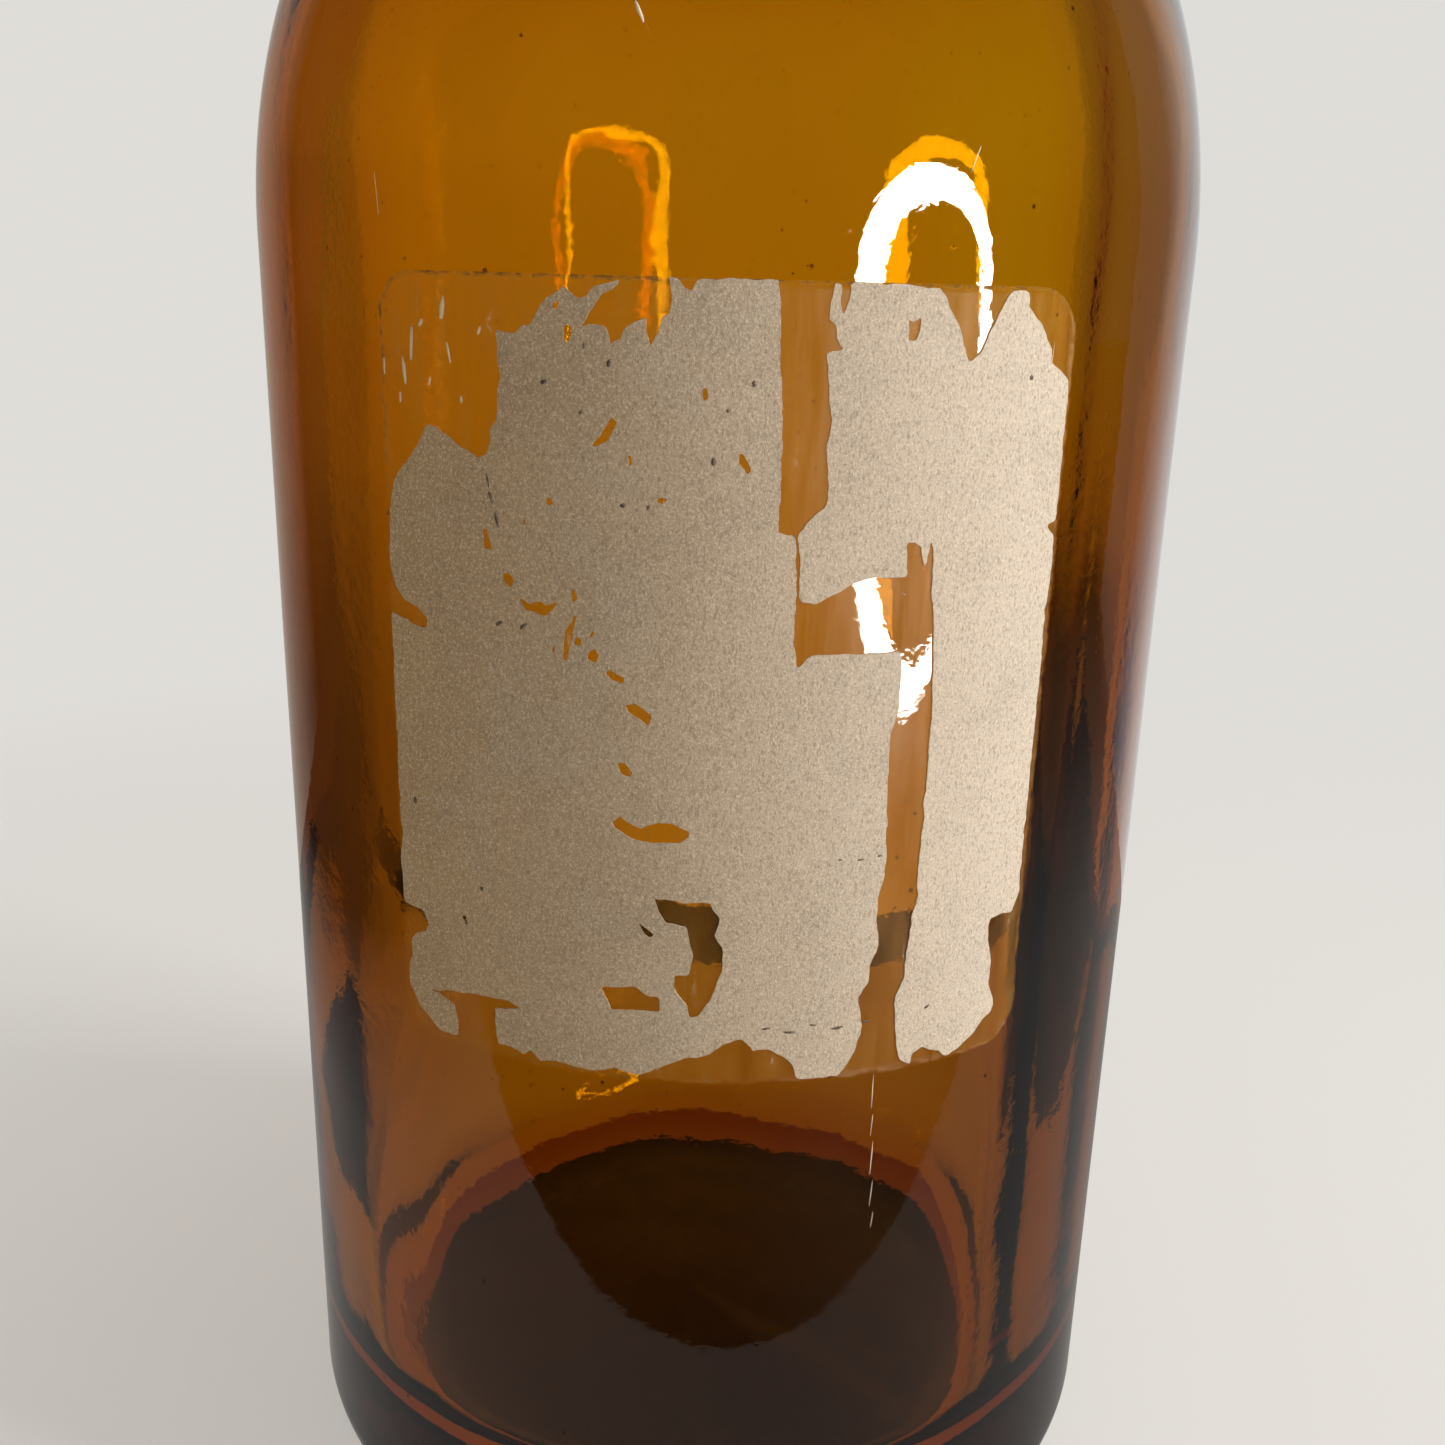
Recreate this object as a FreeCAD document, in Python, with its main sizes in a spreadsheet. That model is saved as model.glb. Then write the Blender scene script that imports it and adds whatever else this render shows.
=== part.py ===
"""Amber glass reagent bottle with a ground stopper and the torn remains of a paper label.

Millimetres, +Z up. The origin is on the body's axis at the surface the bottle stands on.
-Y is the labelled front, +X is to the right when facing it.
"""
import FreeCAD, Part
import math
import os

import Sketcher

V = FreeCAD.Vector

# Driving dimensions: alias, value in millimetres (or degrees), what it is.
DIMENSIONS = [
    ("body_radius", 75.0, "outside radius of the straight body"),
    ("heel_radius", 12.0, "round between the base and the body"),
    ("ring_radius", 50.0, "inside radius of the flat ring the bottle stands on"),
    ("push_up", 5.0, "height of the hollow under the base at the axis"),
    ("shoulder_start", 216.0, "height where the shoulder leaves the straight body"),
    ("shoulder_rise", 75.0, "height of the rounded shoulder"),
    ("neck_radius", 22.5, "outside radius of the neck"),
    ("lip_radius", 29.0, "outside radius of the lip"),
    ("lip_height", 10.0, "height of the lip band"),
    ("lip_round", 3.0, "round on the lip's edges"),
    ("neck_round", 6.0, "round where the neck meets the shoulder"),
    ("mouth_height", 330.0, "height of the top of the lip"),
    ("wall_left", 10.5, "wall on the thinner side, at -X"),
    ("wall_right", 11.5, "wall on the thicker side, at +X"),
    ("floor_height", 14.0, "height of the cavity's floor"),
    ("cavity_heel", 18.0, "round between the cavity's floor and its side"),
    ("cavity_top_radius", 11.0, "radius of the cavity where it meets the bore"),
    ("cavity_top", 284.0, "height where the cavity meets the bore"),
    ("bore_radius", 14.0, "radius of the plain bore under the socket"),
    ("bore_foot", 272.0, "height of the lower end of the plain bore"),
    ("socket_length", 40.0, "length of the ground socket"),
    ("socket_radius", 16.5, "radius of the ground socket at the mouth"),
    ("taper", 0.05, "radius gained for each millimetre of height, 1 in 10 on the diameter"),
    ("ground_gap", 0.3, "radial gap between the ground plug and its socket"),
    ("collar_height", 6.0, "clear height between the lip and the stopper's head"),
    ("head_radius", 25.0, "radius of the stopper's head"),
    ("head_height", 17.0, "height of the stopper's head"),
    ("head_round", 5.0, "round on the edges of the stopper's head"),
    ("label_top", 211.5, "height of the label's top edge"),
    ("label_length", 108.5, "height of the label"),
    ("label_thickness", 0.4, "paper and the dried paste behind it"),
    ("label_sector", 90.0, "angle of the body that the label's sheet is cut from"),
]

# The torn paper, as points on the wrapped sheet: millimetres round the body from its
# centre line (right is positive), and millimetres below the label's top edge.
MAIN_TOP = [
    (6.4, 0.2), (3.0, 0.2), (-3.4, 0.4), (-4.1, 1.8), (-5.0, 1.4), (-5.8, 0.3), (-6.8, 0.2),
    (-6.5, 2.6), (-6.7, 4.4), (-7.7, 4.9), (-8.1, 6.4), (-9.0, 8.3), (-9.5, 6.7), (-9.6, 4.9),
    (-10.9, 5.5), (-12.1, 6.2), (-12.7, 7.4), (-14.1, 8.3), (-14.4, 6.2), (-16.3, 5.8),
    (-17.7, 6.3), (-16.8, 4.9), (-15.2, 2.4), (-13.1, 1.4), (-13.0, 0.6), (-15.9, 1.5),
    (-17.5, 3.0), (-18.6, 2.8), (-19.9, 1.6), (-22.2, 3.1), (-23.6, 4.9), (-24.3, 6.2),
    (-25.4, 6.4), (-26.5, 7.3), (-27.7, 7.4), (-29.2, 6.9),
]
MAIN_LEFT = [
    (-28.8, 12.5), (-29.4, 18.0), (-30.3, 19.2), (-30.3, 21.0), (-31.0, 22.5), (-32.0, 22.9),
    (-35.0, 21.6), (-38.5, 19.5), (-40.4, 19.3), (-41.5, 21.3), (-43.3, 23.6), (-44.8, 24.8),
    (-46.5, 26.8), (-47.5, 31.0), (-48.0, 36.0), (-48.0, 39.0), (-46.8, 41.8), (-45.5, 43.0),
    (-43.0, 43.6), (-41.3, 45.1), (-41.7, 46.4), (-44.3, 46.1), (-48.2, 45.1), (-48.1, 60.0),
    (-48.1, 76.3), (-47.6, 77.0), (-48.3, 81.0), (-48.0, 88.3), (-44.3, 88.8), (-43.1, 90.6),
    (-43.8, 91.8), (-46.0, 92.9), (-46.7, 93.8), (-46.7, 96.5), (-47.5, 98.0), (-47.4, 101.5),
    (-45.4, 104.6), (-42.5, 106.6), (-41.4, 107.4), (-38.3, 107.2),
]
MAIN_FOOT = [
    (-38.1, 105.0), (-38.7, 102.2), (-39.7, 101.7), (-43.1, 101.1), (-40.0, 100.3),
    (-35.0, 99.5), (-29.5, 99.2), (-27.2, 100.0), (-29.5, 100.6), (-31.6, 100.8),
    (-31.4, 104.0), (-31.0, 106.5), (-28.5, 106.5), (-26.8, 107.2), (-25.7, 106.3),
    (-24.2, 107.9), (-22.5, 107.1), (-16.5, 107.9), (-13.0, 107.0), (-9.5, 107.6),
    (-5.0, 105.6), (-3.2, 104.6), (0.0, 104.0), (2.0, 102.4), (5.0, 101.3), (6.5, 103.2),
    (9.0, 103.0), (12.0, 105.7), (13.0, 108.0), (19.0, 108.1), (21.3, 104.4), (22.2, 101.0),
]
MAIN_RIGHT = [
    (21.3, 96.0), (22.7, 93.7), (22.7, 91.5), (24.0, 88.5), (23.4, 84.0), (23.4, 80.5),
    (24.3, 77.5), (23.8, 65.0), (23.7, 57.5), (24.7, 54.5), (24.8, 46.3), (13.5, 46.2),
    (12.0, 46.4), (10.5, 48.0), (9.8, 45.0), (9.9, 39.0), (9.8, 35.0), (9.4, 30.8),
    (7.3, 30.4), (7.2, 29.0), (7.5, 26.0), (7.3, 16.0), (6.8, 10.0),
]
RIGHT_INNER = [
    (27.0, 97.5), (28.2, 94.0), (28.4, 90.0), (29.0, 84.5), (29.6, 81.5), (29.4, 78.5),
    (29.7, 65.0), (29.7, 53.0), (29.1, 42.5), (28.4, 38.0), (28.2, 33.0), (27.8, 31.2),
    (27.5, 34.5), (27.0, 35.2), (26.5, 32.5), (25.5, 32.0), (24.4, 32.0), (24.6, 36.2),
    (20.0, 36.3), (17.0, 37.0), (14.6, 38.5), (12.5, 39.6), (10.4, 39.1), (10.3, 35.0),
    (9.9, 30.5), (11.5, 28.6), (13.1, 27.0), (13.4, 26.0), (13.1, 20.0), (13.4, 16.0),
    (12.6, 10.0), (12.4, 8.6), (14.6, 8.1), (13.7, 6.8), (13.6, 5.4), (12.6, 4.6),
    (12.5, 3.0), (13.2, 0.5), (14.0, 0.6), (13.9, 2.5), (14.3, 4.0), (15.0, 2.0),
]
RIGHT_OUTER = [
    (15.0, 0.2), (26.5, 0.6), (27.5, 1.5), (28.8, 4.0), (29.7, 5.0), (31.0, 8.5), (31.7, 9.4),
    (33.5, 8.0), (34.2, 6.0), (36.5, 1.8), (37.5, 0.8), (39.3, 0.7), (40.2, 1.0), (40.3, 2.6),
    (43.0, 5.3), (44.8, 7.8), (44.9, 9.4), (47.3, 10.8), (48.7, 12.0), (48.6, 20.0),
    (48.8, 27.0), (48.4, 30.3), (46.8, 30.8), (48.5, 32.2), (48.7, 38.0), (48.0, 42.8),
    (48.3, 48.0), (48.2, 60.0), (48.1, 85.0), (47.0, 87.3), (44.5, 87.2), (42.7, 87.3),
    (42.6, 90.5), (43.6, 94.5), (43.5, 98.0), (44.8, 101.5), (44.5, 102.9), (43.2, 103.5),
    (40.8, 105.7), (38.8, 107.2), (36.3, 108.0), (35.0, 106.9), (32.0, 105.6), (30.4, 106.5),
    (30.4, 108.0), (28.6, 107.3), (27.7, 104.0), (27.2, 99.5),
]

# Holes worn or torn through the paper, in the same measure.
MAIN_HOLES = [
    [(-13.9, 16.9), (-13.0, 17.4), (-14.3, 19.8), (-16.4, 20.6), (-14.9, 18.6)],
    [(-31.8, 31.9), (-31.0, 31.8), (-30.4, 34.6), (-31.5, 34.3)],
    [(-28.8, 37.4), (-27.7, 37.2), (-27.2, 38.3), (-27.6, 39.2), (-28.6, 38.4)],
    [(-26.5, 40.5), (-25.0, 41.2), (-23.4, 40.7), (-22.7, 41.2), (-20.9, 40.6),
     (-22.5, 42.5), (-25.4, 42.1)],
    [(-19.3, 39.0), (-18.7, 38.6), (-18.3, 39.9), (-18.9, 40.4)],
    [(-18.8, 42.2), (-18.3, 42.1), (-19.1, 45.5), (-19.8, 48.2), (-20.4, 48.3), (-20.0, 44.5)],
    [(-18.7, 44.9), (-17.8, 45.2), (-17.8, 46.1), (-18.8, 46.0)],
    [(-17.0, 46.8), (-15.9, 46.2), (-15.2, 47.2), (-15.7, 48.3), (-16.9, 47.8)],
    [(-14.5, 49.4), (-13.7, 49.0), (-12.0, 50.0), (-12.3, 50.8), (-13.9, 50.2)],
    [(-11.9, 53.5), (-10.5, 53.2), (-8.4, 54.8), (-8.7, 56.3), (-10.2, 55.2), (-11.5, 54.6)],
    [(-13.0, 61.7), (-12.0, 61.4), (-10.8, 62.9), (-11.3, 63.4), (-12.4, 62.9)],
    [(-13.7, 70.0), (-12.6, 69.1), (-11.1, 70.1), (-9.6, 70.6), (-7.4, 69.6), (-5.6, 69.5),
     (-3.3, 70.6), (-3.1, 71.5), (-4.5, 72.4), (-9.9, 72.4), (-13.3, 70.9)],
    [(-7.7, 80.6), (-4.5, 80.8), (-0.1, 81.0), (1.3, 83.3), (0.6, 85.8), (1.8, 87.7),
     (1.8, 90.6), (0.3, 95.4), (-1.3, 97.9), (-2.6, 98.2), (-3.0, 96.5), (-5.0, 93.6),
     (-4.7, 92.0), (-2.8, 91.6), (-2.2, 89.1), (-3.2, 84.5), (-5.9, 84.0), (-7.2, 82.4)],
    [(-10.0, 84.3), (-9.4, 84.4), (-7.7, 85.9), (-8.2, 86.3), (-9.4, 85.4)],
    [(-15.0, 94.7), (-14.1, 94.3), (-10.0, 94.1), (-8.2, 95.2), (-6.8, 95.4), (-6.7, 97.6),
     (-10.4, 97.6), (-13.7, 97.9), (-14.1, 96.6)],
    [(-19.9, 6.4), (-19.2, 6.0), (-18.8, 7.2), (-19.4, 8.4), (-20.0, 7.8)],
    [(-11.8, 21.4), (-11.3, 21.3), (-11.1, 22.4), (-11.6, 22.7)],
    [(-2.6, 13.2), (-2.1, 13.0), (-1.9, 14.2), (-2.5, 14.6)],
    [(2.1, 20.8), (2.6, 20.7), (3.7, 22.8), (3.2, 23.2), (2.2, 21.9)],
]
RIGHT_HOLES = [
    [(22.6, 4.3), (23.4, 4.6), (24.3, 4.3), (24.0, 6.9), (22.9, 6.9)],
]

doc = FreeCAD.newDocument("reagent_bottle")


def make_sheet():
    """Put the driving dimensions in a spreadsheet, one alias to a row."""
    cells = doc.addObject("Spreadsheet::Sheet", "dims")
    for row, (alias, value, note) in enumerate(DIMENSIONS, start=1):
        cells.set("A%d" % row, alias)
        cells.set("B%d" % row, str(value))
        cells.set("C%d" % row, note)
        cells.setAlias("B%d" % row, alias)
    doc.recompute()
    return cells


sheet = make_sheet()


class Length:
    """A length worked out from the sheet, kept with the expression that binds it."""

    def __init__(self, value, text):
        self.value = value
        self.text = text

    def __add__(self, other):
        return Length(self.value + other.value, "(%s + %s)" % (self.text, other.text))

    def __sub__(self, other):
        return Length(self.value - other.value, "(%s - %s)" % (self.text, other.text))

    def __mul__(self, other):
        return Length(self.value * other.value, "(%s * %s)" % (self.text, other.text))

    def half(self):
        return Length(self.value / 2, "(%s / 2)" % self.text)


def length(alias):
    """One driving dimension, as a length that knows its cell."""
    return Length(float(sheet.get(alias)), "dims." + alias)


ZERO = Length(0.0, "0")


def plane(body, role):
    """One of the body's own origin planes, found by its role."""
    return [item for item in body.Origin.OriginFeatures if item.Role == role][0]


def add_sketch(body, name, role):
    """A sketch on one of the body's own origin planes."""
    sketch = body.newObject("Sketcher::SketchObject", name)
    sketch.AttachmentSupport = [(plane(body, role), "")]
    sketch.MapMode = "FlatFace"
    return sketch


def bind(sketch, kind, target, amount):
    """Add one dimension to a sketch and bind it to the sheet."""
    index = sketch.addConstraint(Sketcher.Constraint(kind, *target, amount.value))
    sketch.setExpression("Constraints[%d]" % index, amount.text)


def bind_point(sketch, geometry, vertex, point):
    """Tie one end of a line or arc to its place, measured from the origin."""
    for kind, axis, amount in (("DistanceX", -2, point[0]), ("DistanceY", -1, point[1])):
        if amount is ZERO:
            sketch.addConstraint(Sketcher.Constraint("PointOnObject", geometry, vertex, axis))
        else:
            bind(sketch, kind, (-1, 1, geometry, vertex), amount)


def place(point):
    """The vector of a point whose two measures are lengths."""
    return V(point[0].value, point[1].value, 0)


def add_line(sketch, start, end):
    """A line whose start is bound to the sheet; the next piece starts at its end."""
    line = sketch.addGeometry(Part.LineSegment(place(start), place(end)), False)
    bind_point(sketch, line, 1, start)
    return line


def add_arc(sketch, centre, radius, start_angle, end_angle):
    """An arc about a bound centre, anticlockwise from one angle in degrees to the other."""
    circle = Part.Circle(place(centre), V(0, 0, 1), radius.value)
    arc = Part.ArcOfCircle(circle, math.radians(start_angle), math.radians(end_angle))
    geometry = sketch.addGeometry(arc, False)
    bind_point(sketch, geometry, 3, centre)
    bind(sketch, "Radius", (geometry,), radius)


def add_quarter_ellipse(sketch, centre, across, up):
    """The quarter ellipse, taller than it is wide, from the right of the centre to its top."""
    middle = place(centre)
    ellipse = Part.Ellipse(middle + V(0, up.value, 0), middle - V(across.value, 0, 0), middle)
    geometry = sketch.addGeometry(Part.ArcOfEllipse(ellipse, -math.pi / 2, 0.0), False)
    bind_point(sketch, geometry, 3, centre)


def add_axis(sketch, offset=ZERO):
    """A construction line along the axis of revolution."""
    top = length("mouth_height")
    line = Part.LineSegment(V(offset.value, 0, 0), V(offset.value, top.value, 0))
    geometry = sketch.addGeometry(line, True)
    bind_point(sketch, geometry, 1, (offset, ZERO))
    bind_point(sketch, geometry, 2, (offset, top))


def add_loop(sketch, points):
    """Close a run of straight lines through free points, in plain millimetres."""
    for start, end in zip(points, points[1:] + points[:1]):
        sketch.addGeometry(Part.LineSegment(V(start[0], start[1], 0), V(end[0], end[1], 0)), False)


def add_bound_loop(sketch, points):
    """Close a run of straight lines through bound points."""
    for start, end in zip(points, points[1:] + points[:1]):
        add_line(sketch, start, end)


def revolve(body, kind, sketch, name):
    """Turn a sketch once about its own construction line, adding or cutting."""
    feature = body.newObject(kind, name)
    feature.Profile = sketch
    feature.ReferenceAxis = (sketch, ["Axis0"])
    feature.Angle = 360.0
    doc.recompute()
    return feature


def bottle_outside(body):
    """The outer shape: push-up, standing ring, heel, body, shoulder, neck and lip."""
    radius = length("body_radius")
    heel = length("heel_radius")
    ring = length("ring_radius")
    push_up = length("push_up")
    start = length("shoulder_start")
    top = start + length("shoulder_rise")
    neck = length("neck_radius")
    lip = length("lip_radius")
    mouth = length("mouth_height")
    lip_foot = mouth - length("lip_height")
    sketch = add_sketch(body, "outside_profile", "XZ_Plane")
    hollow = (ring.value ** 2 + push_up.value ** 2) / (2 * push_up.value)
    rim_angle = math.degrees(math.asin(ring.value / hollow))
    dome = Part.Circle(V(0, push_up.value - hollow, 0), V(0, 0, 1), hollow)
    sketch.addGeometry(Part.ArcOfCircle(dome, math.radians(90 - rim_angle), math.pi / 2), False)
    add_line(sketch, (ring, ZERO), (radius - heel, ZERO))
    add_arc(sketch, (radius - heel, heel), heel, 270, 360)
    add_line(sketch, (radius, heel), (radius, start))
    add_quarter_ellipse(sketch, (neck, start), radius - neck, top - start)
    add_line(sketch, (neck, top), (neck, lip_foot))
    add_line(sketch, (neck, lip_foot), (lip, lip_foot))
    add_line(sketch, (lip, lip_foot), (lip, mouth))
    add_line(sketch, (lip, mouth), (ZERO, mouth))
    add_line(sketch, (ZERO, mouth), (ZERO, push_up))
    add_axis(sketch)
    return revolve(body, "PartDesign::Revolution", sketch, "outside")


def bottle_cavity(body):
    """The cavity, about an axis set a little over towards the thinner side of the wall."""
    wall = (length("wall_left") + length("wall_right")).half()
    shift = (length("wall_left") - length("wall_right")).half()
    inner = length("body_radius") - wall
    floor = length("floor_height")
    heel = length("cavity_heel")
    start = length("shoulder_start")
    top = length("cavity_top")
    neck = length("cavity_top_radius")
    sketch = add_sketch(body, "cavity_profile", "XZ_Plane")
    add_line(sketch, (shift, floor), (shift + inner - heel, floor))
    add_arc(sketch, (shift + inner - heel, floor + heel), heel, 270, 360)
    add_line(sketch, (shift + inner, floor + heel), (shift + inner, start))
    add_quarter_ellipse(sketch, (shift + neck, start), inner - neck, top - start)
    add_line(sketch, (shift + neck, top), (shift, top))
    add_line(sketch, (shift, top), (shift, floor))
    add_axis(sketch, shift)
    return revolve(body, "PartDesign::Groove", sketch, "cavity")


def bottle_bore(body):
    """The plain bore under the ground socket, and the socket up to the mouth."""
    mouth = length("mouth_height")
    bore = length("bore_radius")
    foot = length("bore_foot")
    socket_foot = mouth - length("socket_length")
    wide = length("socket_radius")
    narrow = wide - length("taper") * length("socket_length")
    sketch = add_sketch(body, "bore_profile", "XZ_Plane")
    add_bound_loop(sketch, [(ZERO, foot), (bore, foot), (bore, socket_foot),
                            (narrow, socket_foot), (wide, mouth), (ZERO, mouth)])
    add_axis(sketch)
    return revolve(body, "PartDesign::Groove", sketch, "bore")


def nearest_edges(shape, radius, height, reach=0.6):
    """The names of the circular edges at this radius and height."""
    names = []
    for number, edge in enumerate(shape.Edges, start=1):
        point = edge.valueAt(edge.FirstParameter)
        if abs(math.hypot(point.x, point.y) - radius) < reach and abs(point.z - height) < reach:
            names.append("Edge%d" % number)
    return names


def round_edges(body, base, circles, alias):
    """Round every circular edge found at the given radii and heights."""
    fillet = body.newObject("PartDesign::Fillet", alias + "s")
    found = []
    for circle_radius, height in circles:
        found += nearest_edges(base.Shape, circle_radius.value, height.value)
    fillet.Base = (base, sorted(set(found)))
    fillet.setExpression("Radius", "dims." + alias)
    doc.recompute()
    return fillet


def make_bottle():
    """The glass bottle, one solid."""
    body = doc.addObject("PartDesign::Body", "bottle")
    body.Label = "bottle"
    bottle_outside(body)
    bottle_cavity(body)
    bore = bottle_bore(body)
    mouth = length("mouth_height")
    lip = length("lip_radius")
    neck = length("neck_radius")
    lip_foot = mouth - length("lip_height")
    shoulder_top = length("shoulder_start") + length("shoulder_rise")
    rounded = round_edges(body, bore, [(lip, mouth), (lip, lip_foot)], "lip_round")
    round_edges(body, rounded, [(neck, shoulder_top)], "neck_round")
    return body


def make_stopper():
    """The ground stopper: a tapered plug and a thick flat head."""
    body = doc.addObject("PartDesign::Body", "stopper")
    body.Label = "stopper"
    mouth = length("mouth_height")
    taper = length("taper")
    foot = mouth - length("socket_length")
    head_foot = mouth + length("collar_height")
    head_top = head_foot + length("head_height")
    head = length("head_radius")
    edge = length("head_round")
    foot_radius = length("socket_radius") - taper * length("socket_length") - length("ground_gap")
    collar = foot_radius + taper * (head_foot - foot)
    sketch = add_sketch(body, "stopper_profile", "XZ_Plane")
    add_line(sketch, (ZERO, foot), (foot_radius, foot))
    add_line(sketch, (foot_radius, foot), (collar, head_foot))
    add_line(sketch, (collar, head_foot), (head - edge, head_foot))
    add_arc(sketch, (head - edge, head_foot + edge), edge, 270, 360)
    add_line(sketch, (head, head_foot + edge), (head, head_top - edge))
    add_arc(sketch, (head - edge, head_top - edge), edge, 0, 90)
    add_line(sketch, (head - edge, head_top), (ZERO, head_top))
    add_line(sketch, (ZERO, head_top), (ZERO, foot))
    add_axis(sketch)
    revolve(body, "PartDesign::Revolution", sketch, "plug_and_head")
    return body


def sheet_points(points):
    """Wrapped-sheet points (round the body, down) seen square on, as (across, up)."""
    radius = length("body_radius").value
    top = length("label_top").value
    return [(radius * math.sin(around / radius), top - down) for around, down in points]


def make_label(name, outline, holes):
    """A torn piece of the label: a curved sheet, cut away outside its outline."""
    body = doc.addObject("PartDesign::Body", name)
    body.Label = name
    radius = length("body_radius")
    back = ZERO - radius
    front = back - length("label_thickness")
    top = length("label_top")
    foot = top - length("label_length")
    section = add_sketch(body, name + "_section", "YZ_Plane")
    add_bound_loop(section, [(back, foot), (front, foot), (front, top), (back, top)])
    add_axis(section)
    paper = revolve(body, "PartDesign::Revolution", section, name + "_paper")
    paper.setExpression("Angle", "dims.label_sector")
    paper.Midplane = True
    doc.recompute()
    half_width = radius.value
    margin = 10.0
    low = foot.value - margin
    high = top.value + margin
    torn = add_sketch(body, name + "_tear", "XZ_Plane")
    add_loop(torn, [(-half_width, low), (half_width, low), (half_width, high), (-half_width, high)])
    add_loop(torn, sheet_points(outline))
    for hole in holes:
        add_loop(torn, sheet_points(hole))
    cut = body.newObject("PartDesign::Pocket", name + "_cut")
    cut.Profile = torn
    cut.Type = "ThroughAll"
    cut.Midplane = True
    doc.recompute()
    if cut.Shape.Volume >= paper.Shape.Volume:
        raise RuntimeError(name + ": the tear removed nothing")
    return body


def check_and_write(bodies):
    """Stop on any failed object, then write one STEP file for each piece."""
    doc.recompute()
    for item in doc.Objects:
        if "Invalid" in item.State or "Error" in item.State:
            raise RuntimeError("failed object: " + item.Name)
    for body in bodies:
        if body.Shape.isNull() or not body.Shape.isValid():
            raise RuntimeError("bad shape: " + body.Label)
        if len(body.Shape.Solids) != 1:
            raise RuntimeError("%s has %d solids" % (body.Label, len(body.Shape.Solids)))
    os.makedirs("parts", exist_ok=True)
    for body in bodies:
        body.Shape.exportStep("parts/%s.step" % body.Label)
        box = body.Shape.BoundBox
        print("%-12s volume %10.1f mm3, z %.2f to %.2f" % (
            body.Label, body.Shape.Volume, box.ZMin, box.ZMax))


def main():
    pieces = [make_bottle(), make_stopper()]
    pieces.append(make_label("label_left", MAIN_TOP + MAIN_LEFT + MAIN_FOOT + MAIN_RIGHT,
                             MAIN_HOLES))
    pieces.append(make_label("label_right", RIGHT_INNER + RIGHT_OUTER, RIGHT_HOLES))
    for piece in pieces:
        piece.Placement = FreeCAD.Placement(V(0, 0, 0), FreeCAD.Rotation())
    check_and_write(pieces)


main()
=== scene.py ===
import math

import bmesh
import bpy
from bpy.props import FloatProperty, FloatVectorProperty, PointerProperty
from mathutils import Matrix, Vector, noise
from mathutils.kdtree import KDTree


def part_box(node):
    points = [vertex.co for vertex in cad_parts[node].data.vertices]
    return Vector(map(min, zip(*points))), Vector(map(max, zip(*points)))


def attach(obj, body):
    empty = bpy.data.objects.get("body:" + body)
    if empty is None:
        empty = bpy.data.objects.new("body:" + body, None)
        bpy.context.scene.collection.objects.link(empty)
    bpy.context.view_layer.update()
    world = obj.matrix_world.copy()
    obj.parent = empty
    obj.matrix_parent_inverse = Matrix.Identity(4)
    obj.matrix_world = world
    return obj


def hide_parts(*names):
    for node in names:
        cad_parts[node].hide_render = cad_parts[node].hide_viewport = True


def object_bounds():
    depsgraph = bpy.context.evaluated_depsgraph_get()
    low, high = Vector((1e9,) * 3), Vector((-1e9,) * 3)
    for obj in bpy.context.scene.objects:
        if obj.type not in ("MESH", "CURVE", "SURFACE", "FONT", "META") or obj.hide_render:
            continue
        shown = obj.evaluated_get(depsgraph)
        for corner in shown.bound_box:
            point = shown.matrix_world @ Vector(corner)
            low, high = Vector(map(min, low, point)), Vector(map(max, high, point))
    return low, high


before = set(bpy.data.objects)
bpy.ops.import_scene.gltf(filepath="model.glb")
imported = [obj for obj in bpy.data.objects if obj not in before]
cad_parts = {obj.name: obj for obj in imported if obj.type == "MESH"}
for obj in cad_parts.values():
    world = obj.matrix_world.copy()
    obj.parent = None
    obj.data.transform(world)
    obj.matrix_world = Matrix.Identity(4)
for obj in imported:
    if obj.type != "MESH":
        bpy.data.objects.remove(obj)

bl_info = {
    "name": "Amber reagent bottle",
    "version": (1, 0, 0),
    "blender": (4, 5, 0),
    "location": "View3D > Sidebar > Bottle",
    "description": "Builds the looks of an old amber bottle with a torn paper label",
    "category": "Object",
}

CAD_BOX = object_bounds()
MM = 0.001
BODY_RADIUS = CAD_BOX[1].x
LABEL_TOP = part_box("label_left")[1].z
LABEL_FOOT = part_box("label_left")[0].z


# ---------------------------------------------------------------- settings

def length(name, description, default):
    """A length property in metres."""
    return FloatProperty(name=name, description=description, default=default, unit="LENGTH")


def colour(name, description, default):
    """A linear colour property."""
    return FloatVectorProperty(name=name, description=description, default=default,
                               subtype="COLOR", size=3, min=0.0, max=1.0)


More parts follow.
